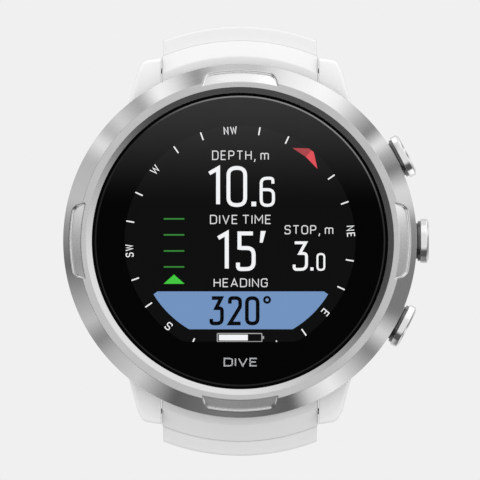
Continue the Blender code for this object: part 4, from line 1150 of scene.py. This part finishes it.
def make_buttons():
    for label, angle in BUTTON_ANGLES.items():
        place = along_axis(angle)
        cap = [(0, 18.4), (0.9, 18.4), (0.9, 18.9), (0.6, 18.9), (0.6, 19.35), (0.9, 19.35), (0.9, 27.8), (2.8, 27.8),
               (2.8, 26.72), (3.02, 26.72), (3.02, 27.14), (3.33, 27.14), (3.33, 28.1), (2.8, 28.38), (0, 28.42)]
        radii = [0, 0, 0, 0, 0, 0, 0, 0, 0.04, 0.05, 0.04, 0.06, 0.2, 0.5, 0]
        points, faces = lathe(fillet(cap, radii, 4, closed=False), 96)
        zones = []
        for face in faces:
            middle = [sum(points[i][axis] for i in face) / len(face) for axis in range(3)]
            zones.append(1 if middle[2] < 27.14 else 0)
        points = [place(*point) for point in points]
        piece = make_piece(f"push_button_{label}", points, faces, [cap_steel, collar_steel], zones)
        settle(piece, f"button_{label}", "brushed_steel", f"button_cap_{label}")
        sleeve = [(2.7, 26.8), (2.7, 19.6), (1.2, 19.6), (1.2, 22.2), (2.2, 22.2), (2.2, 26.8)]
        radii = [0.15, 0, 0, 0, 0, 0]
        piece = make_piece(f"collar_{label}", *lathe(fillet(sleeve, radii, 3), 48, place), [collar_steel])
        settle(piece, "case", "dark_steel", f"button_sleeve_{label}")


def make_back():
    profile = [(0, 0), (BACK_R, 0), (BACK_R, BACK_TOP), (0, BACK_TOP)]
    ring = [(0, 0.0), (12.6, 0.0), (12.75, 0.14), (13.05, 0.14), (13.2, 0.0), (BACK_R - 0.45, 0), (BACK_R, 0.45),
            (BACK_R, BACK_TOP), (0, BACK_TOP)]
    back = make_piece("rear_cover", *lathe(ring, 180), [back_steel], sharp=25.0)
    cutters = []
    for number in range(1, 5):
        low, high = size_of(f"case_back_screw_{number}")
        x, y = (low[0] + high[0]) / 2, (low[1] + high[1]) / 2
        shape = [(0, -1.0), (1.55, -1.0), (1.4, 0.05), (1.4, 1.0), (0.85, 1.0), (0.85, 2.5), (0, 2.5)]
        cutter = lathe(shape, 32, lambda a, b, h, x=x, y=y: (a + x, b + y, h))
        cutters.append(make_piece(f"counterbore_{number}", *cutter, []))
        low, high = size_of(f"charging_contact_{number}")
        x, y = (low[0] + high[0]) / 2, (low[1] + high[1]) / 2
        cutter = lathe([(0, -1.0), (0.9, -1.0), (0.9, 2.5), (0, 2.5)], 24,
                       lambda a, b, h, x=x, y=y: (a + x, b + y, h))
        cutters.append(make_piece(f"contact_hole_{number}", *cutter, []))
    boolean_all(back, cutters, sharp=25.0)
    settle(back, "case", "brushed_steel", "case_back")
    for number in range(1, 5):
        low, high = size_of(f"case_back_screw_{number}")
        x, y = (low[0] + high[0]) / 2, (low[1] + high[1]) / 2
        head = fillet([(0, 0.1), (1.1, 0.1), (1.1, 0.7), (0.55, 0.7), (0.55, 3.5), (0, 3.5)],
                      [0, 0.12, 0, 0, 0, 0], 3, closed=False)
        piece = make_piece(f"rear_screw_{number}", *lathe(head, 32, lambda a, b, h, x=x, y=y: (a + x, b + y, h)),
                           [screw_steel])
        star = []
        for k in range(24):
            a = math.radians(15 * k)
            r = 0.55 + 0.09 * math.cos(6 * a)
            star.append((x + r * math.cos(a), y + r * math.sin(a)))
        boolean_all(piece, [make_piece("star", *prism(star, -0.5, 0.45), [])])
        settle(piece, "case", "dark_steel", f"case_back_screw_{number}")
        low, high = size_of(f"charging_contact_{number}")
        x, y = (low[0] + high[0]) / 2, (low[1] + high[1]) / 2
        pin = fillet([(0, 0.08), (0.6, 0.1), (0.6, 2.2), (0, 2.2)], [0, 0.2, 0, 0], 4, closed=False)
        piece = make_piece(f"gold_contact_{number}", *lathe(pin, 24, lambda a, b, h, x=x, y=y: (a + x, b + y, h)),
                           [gold])
        settle(piece, "case", "gold_contact", f"charging_contact_{number}")


def make_sensor_cover():
    place = along_axis(180)
    disc = fillet([(0, 24.3), (3.0, 24.3), (3.0, 25.2), (0, 25.3)], [0, 0, 0.2, 0], 4, closed=False)
    cover = make_piece("sensor_cover", *lathe(disc, 48, place), [cap_steel])
    cutters = []
    for number in range(6):
        a = math.radians(60 * number)
        x, y = 1.7 * math.cos(a), 1.7 * math.sin(a)
        hole = lathe([(0, 24.0), (0.35, 24.0), (0.35, 26.0), (0, 26.0)], 16,
                     lambda p, q, h, x=x, y=y: place(p + x, q + y, h))
        cutters.append(make_piece(f"vent_{number}", *hole, []))
    boolean_all(cover, cutters, solver="MANIFOLD")
    settle(cover, "case", "brushed_steel", "depth_sensor_cover")


back_steel = turned_steel("back_steel", 0.48, 0.3, 0.6, 0.3)
screw_steel = plain_steel("screw_steel", 0.35, 0.3)
slot_materials = {
    "brushed_steel": buckle_steel,
    "dark_steel": collar_steel,
    "black_rubber": black_rubber,
    "gold_contact": gold,
    "diffuser": moulded("diffuser", (0.8, 0.81, 0.79), (0.76, 0.77, 0.75), 0.5, 1500.0, 0.05),
    "board": moulded("board", (0.03, 0.15, 0.075), (0.02, 0.11, 0.05), 0.4, 700.0, 0.1, coat=0.3),
    "chip": moulded("chip", (0.03, 0.03, 0.033), (0.022, 0.022, 0.025), 0.45, 2500.0, 0.15),
    "grey_plastic": moulded("grey_plastic", (0.12, 0.12, 0.125), (0.1, 0.1, 0.105), 0.5, 2200.0, 0.15),
    "cell_foil": plain_steel("cell_foil", 0.5, 0.35),
    "flex_cable": moulded("flex_cable", (0.5, 0.25, 0.05), (0.42, 0.2, 0.04), 0.35, 900.0, 0.05, coat=0.4),
}


def finish_inner_nodes():
    """Every CAD node that still shows gets its slot's material and smooth round sides."""
    for entry in frame["record"]["subparts"]:
        obj = frame["nodes"][entry["node"]]
        material = slot_materials.get(entry["material_slot"])
        if obj.hide_render or material is None:
            continue
        obj.data.materials.clear()
        obj.data.materials.append(material)
        obj.data.shade_smooth()
        obj.data.set_sharp_from_angle(angle=math.radians(40))


# ---------------------------------------------------------------- studio

def make_studio():
    scene = bpy.context.scene
    scene.view_settings.view_transform = "Standard"
    scene.view_settings.look = "None"
    sky = bpy.data.worlds.new("studio")
    scene.world = sky
    sky.use_nodes = True
    tree = sky.node_tree
    tree.nodes.clear()
    new, link = tree.nodes.new, tree.links.new

    def calc(operation, a, b=0.0, clamp=False):
        made = new("ShaderNodeMath")
        made.operation = operation
        made.use_clamp = clamp
        for socket, value in zip(made.inputs, (a, b)):
            if hasattr(value, "is_output"):
                link(value, socket)
            else:
                socket.default_value = value
        return made.outputs[0]

    def smooth(value, start, end, low=0.0, high=1.0):
        made = new("ShaderNodeMapRange")
        made.interpolation_type = "SMOOTHSTEP"
        link(value, made.inputs[0])
        for index, number in enumerate((start, end, low, high), 1):
            if hasattr(number, "is_output"):
                link(number, made.inputs[index])
            else:
                made.inputs[index].default_value = number
        return made.outputs[0]

    def blend(factor, a, b):
        """a at factor 0, b at factor 1."""
        return calc("ADD", calc("MULTIPLY", a, calc("SUBTRACT", 1.0, factor)), calc("MULTIPLY", b, factor))

    coord = new("ShaderNodeTexCoord")
    split = new("ShaderNodeSeparateXYZ")
    link(coord.outputs["Generated"], split.inputs[0])
    x, y, z = split.outputs
    turn = calc("ADD", calc("MULTIPLY", calc("ARCTAN2", z, x), 0.5 / math.pi), 0.5)

    def ring_light(stops):
        """Brightness round the dial as a colour ramp over half a turn."""
        ring = new("ShaderNodeValToRGB")
        ring.color_ramp.interpolation = "LINEAR"
        elements = ring.color_ramp.elements
        elements[0].position, elements[1].position = stops[0][0] / 360 + 0.5, stops[-1][0] / 360 + 0.5
        for degrees, _ in stops[1:-1]:
            elements.new(degrees / 360 + 0.5)
        for element, (_, level) in zip(elements, stops):
            element.color = (level / RING_SCALE,) * 3 + (1.0,)
        link(turn, ring.inputs[0])
        return calc("MULTIPLY", ring.outputs[0], RING_SCALE)

    above = calc("GREATER_THAN", z, 0.0)
    behind_level = blend(above, ring_light(LOWER_LIGHTS), ring_light(UPPER_LIGHTS))
    flat_length = calc("SQRT", calc("ADD", calc("MULTIPLY", x, x), calc("MULTIPLY", z, z)))
    key = math.radians(KEY_LIGHT_ANGLE)
    along = calc("ADD", calc("MULTIPLY", x, math.cos(key)), calc("MULTIPLY", z, math.sin(key)))
    along = calc("DIVIDE", along, calc("MAXIMUM", flat_length, 0.001))
    side_level = smooth(along, -0.35, 0.9, 0.12, 1.47)
    ahead = calc("MULTIPLY", y, -1.0)
    level = blend(smooth(y, -0.12, 0.12), side_level, behind_level)
    level = blend(smooth(ahead, 0.57, 0.87), level, FRONT_LIGHT)
    level = blend(smooth(y, 0.5, 0.95), level, REAR_LIGHT)
    soft_level = calc("ADD", calc("MULTIPLY", z, SOFT_FROM_ABOVE), SOFT_LIGHT)
    soft_level = calc("ADD", soft_level, calc("MULTIPLY", ahead, SOFT_FROM_AHEAD))
    path = new("ShaderNodeLightPath")
    level = blend(path.outputs["Is Glossy Ray"], soft_level, level)
    lit = new("ShaderNodeBackground")
    lit.inputs["Color"].default_value = (1.0, 1.0, 1.0, 1.0)
    link(level, lit.inputs["Strength"])
    plain = new("ShaderNodeBackground")
    plain.inputs["Color"].default_value = (1.0, 1.0, 1.0, 1.0)
    plain.inputs["Strength"].default_value = GREY_BACKGROUND
    mix = new("ShaderNodeMixShader")
    link(path.outputs["Is Camera Ray"], mix.inputs[0])
    link(lit.outputs[0], mix.inputs[1])
    link(plain.outputs[0], mix.inputs[2])
    out = new("ShaderNodeOutputWorld")
    link(mix.outputs[0], out.inputs["Surface"])
    make_floor()
    camera = bpy.data.cameras.new("camera")
    camera.lens = 1000.0
    camera.sensor_width = 36.0
    camera.clip_end = 100.0
    eye = bpy.data.objects.new("camera", camera)
    scene.collection.objects.link(eye)
    view_width = 0.072
    eye.location = (0.0, -view_width * camera.lens / camera.sensor_width - 0.011, 0.00015)
    eye.rotation_euler = (math.radians(90), 0, 0)
    scene.camera = eye


# Studio lights round the dial as (degrees anticlockwise from 3 o'clock, brightness): soft panels with dark gaps.
LOWER_LIGHTS = (
    (-180, 0.45), (-172, 0.25), (-165, 0.5), (-152, 1.0), (-145, 0.45), (-139, 0.85), (-127, 1.2), (-113, 0.2),
    (-95, 0.35), (-72, 0.2), (-66, 1.2), (-58, 1.7), (-47, 0.9), (-40, 0.4), (-33, 1.35), (-25, 0.35), (-8, 0.35),
    (0, 0.45),
)
UPPER_LIGHTS = (
    (0, 0.45), (6, 0.5), (12, 1.2), (18, 1.35), (25, 0.3), (31, 0.8), (35, 1.6), (40, 0.35), (46, 0.85), (55, 1.75),
    (62, 1.9), (74, 1.65), (84, 1.05), (98, 1.1), (105, 0.5), (113, 1.5), (119, 1.85), (126, 0.65), (135, 1.25),
    (140, 0.85), (145, 1.55), (151, 0.9), (166, 1.0), (174, 0.6), (180, 0.45),
)
RING_SCALE = 2.0
KEY_LIGHT_ANGLE = 52.0
FRONT_LIGHT = 1.1
REAR_LIGHT = 0.8
SOFT_LIGHT = 0.88
SOFT_FROM_ABOVE = 0.33
SOFT_FROM_AHEAD = 0.2


def make_floor():
    """A pale floor, low enough for the lower strap half to swing out to its limit above it."""
    level = cad_low.z - FLOOR_DROP
    points, faces = [], []
    steps, reach = 64, 6.0
    for i in range(steps):
        a = 2 * math.pi * i / steps
        points.append((reach * math.cos(a), reach * math.sin(a), level))
    faces.append(tuple(range(steps)))
    mesh = bpy.data.meshes.new("floor")
    mesh.from_pydata(points, [], faces)
    floor = bpy.data.objects.new("floor", mesh)
    bpy.context.scene.collection.objects.link(floor)
    shader = Shader("floor", (0.8, 0.8, 0.8), 1.0)
    nodes, links = shader.tree.nodes, shader.tree.links
    out = next(n for n in nodes if n.type == "OUTPUT_MATERIAL")
    distance = shader.node("ShaderNodeVectorMath", operation="LENGTH")
    links.new(shader.position(), distance.inputs[0])
    far = shader.node("ShaderNodeMapRange", in_0=distance.outputs["Value"], in_1=0.12, in_2=0.5, in_3=0.0, in_4=1.0)
    diffuse = nodes.new("ShaderNodeBsdfDiffuse")
    diffuse.inputs[0].default_value = (FLOOR_TONE, FLOOR_TONE, FLOOR_TONE, 1.0)
    glow = nodes.new("ShaderNodeEmission")
    glow.inputs["Strength"].default_value = GREY_BACKGROUND
    mix = nodes.new("ShaderNodeMixShader")
    links.new(far.outputs[0], mix.inputs[0])
    links.new(diffuse.outputs[0], mix.inputs[1])
    links.new(glow.outputs[0], mix.inputs[2])
    path = nodes.new("ShaderNodeLightPath")
    seen = nodes.new("ShaderNodeMixShader")
    links.new(path.outputs["Is Camera Ray"], seen.inputs[0])
    links.new(nodes.new("ShaderNodeBsdfTransparent").outputs[0], seen.inputs[1])
    links.new(mix.outputs[0], seen.inputs[2])
    links.new(seen.outputs[0], out.inputs["Surface"])
    nodes.remove(shader.surface)
    mesh.materials.append(shader.material)


FLOOR_TONE = 0.83
FLOOR_DROP = 0.075

make_bezel()
make_glass()
make_display()
make_case()
make_straps()
make_buttons()
make_back()
make_sensor_cover()
finish_inner_nodes()
make_studio()
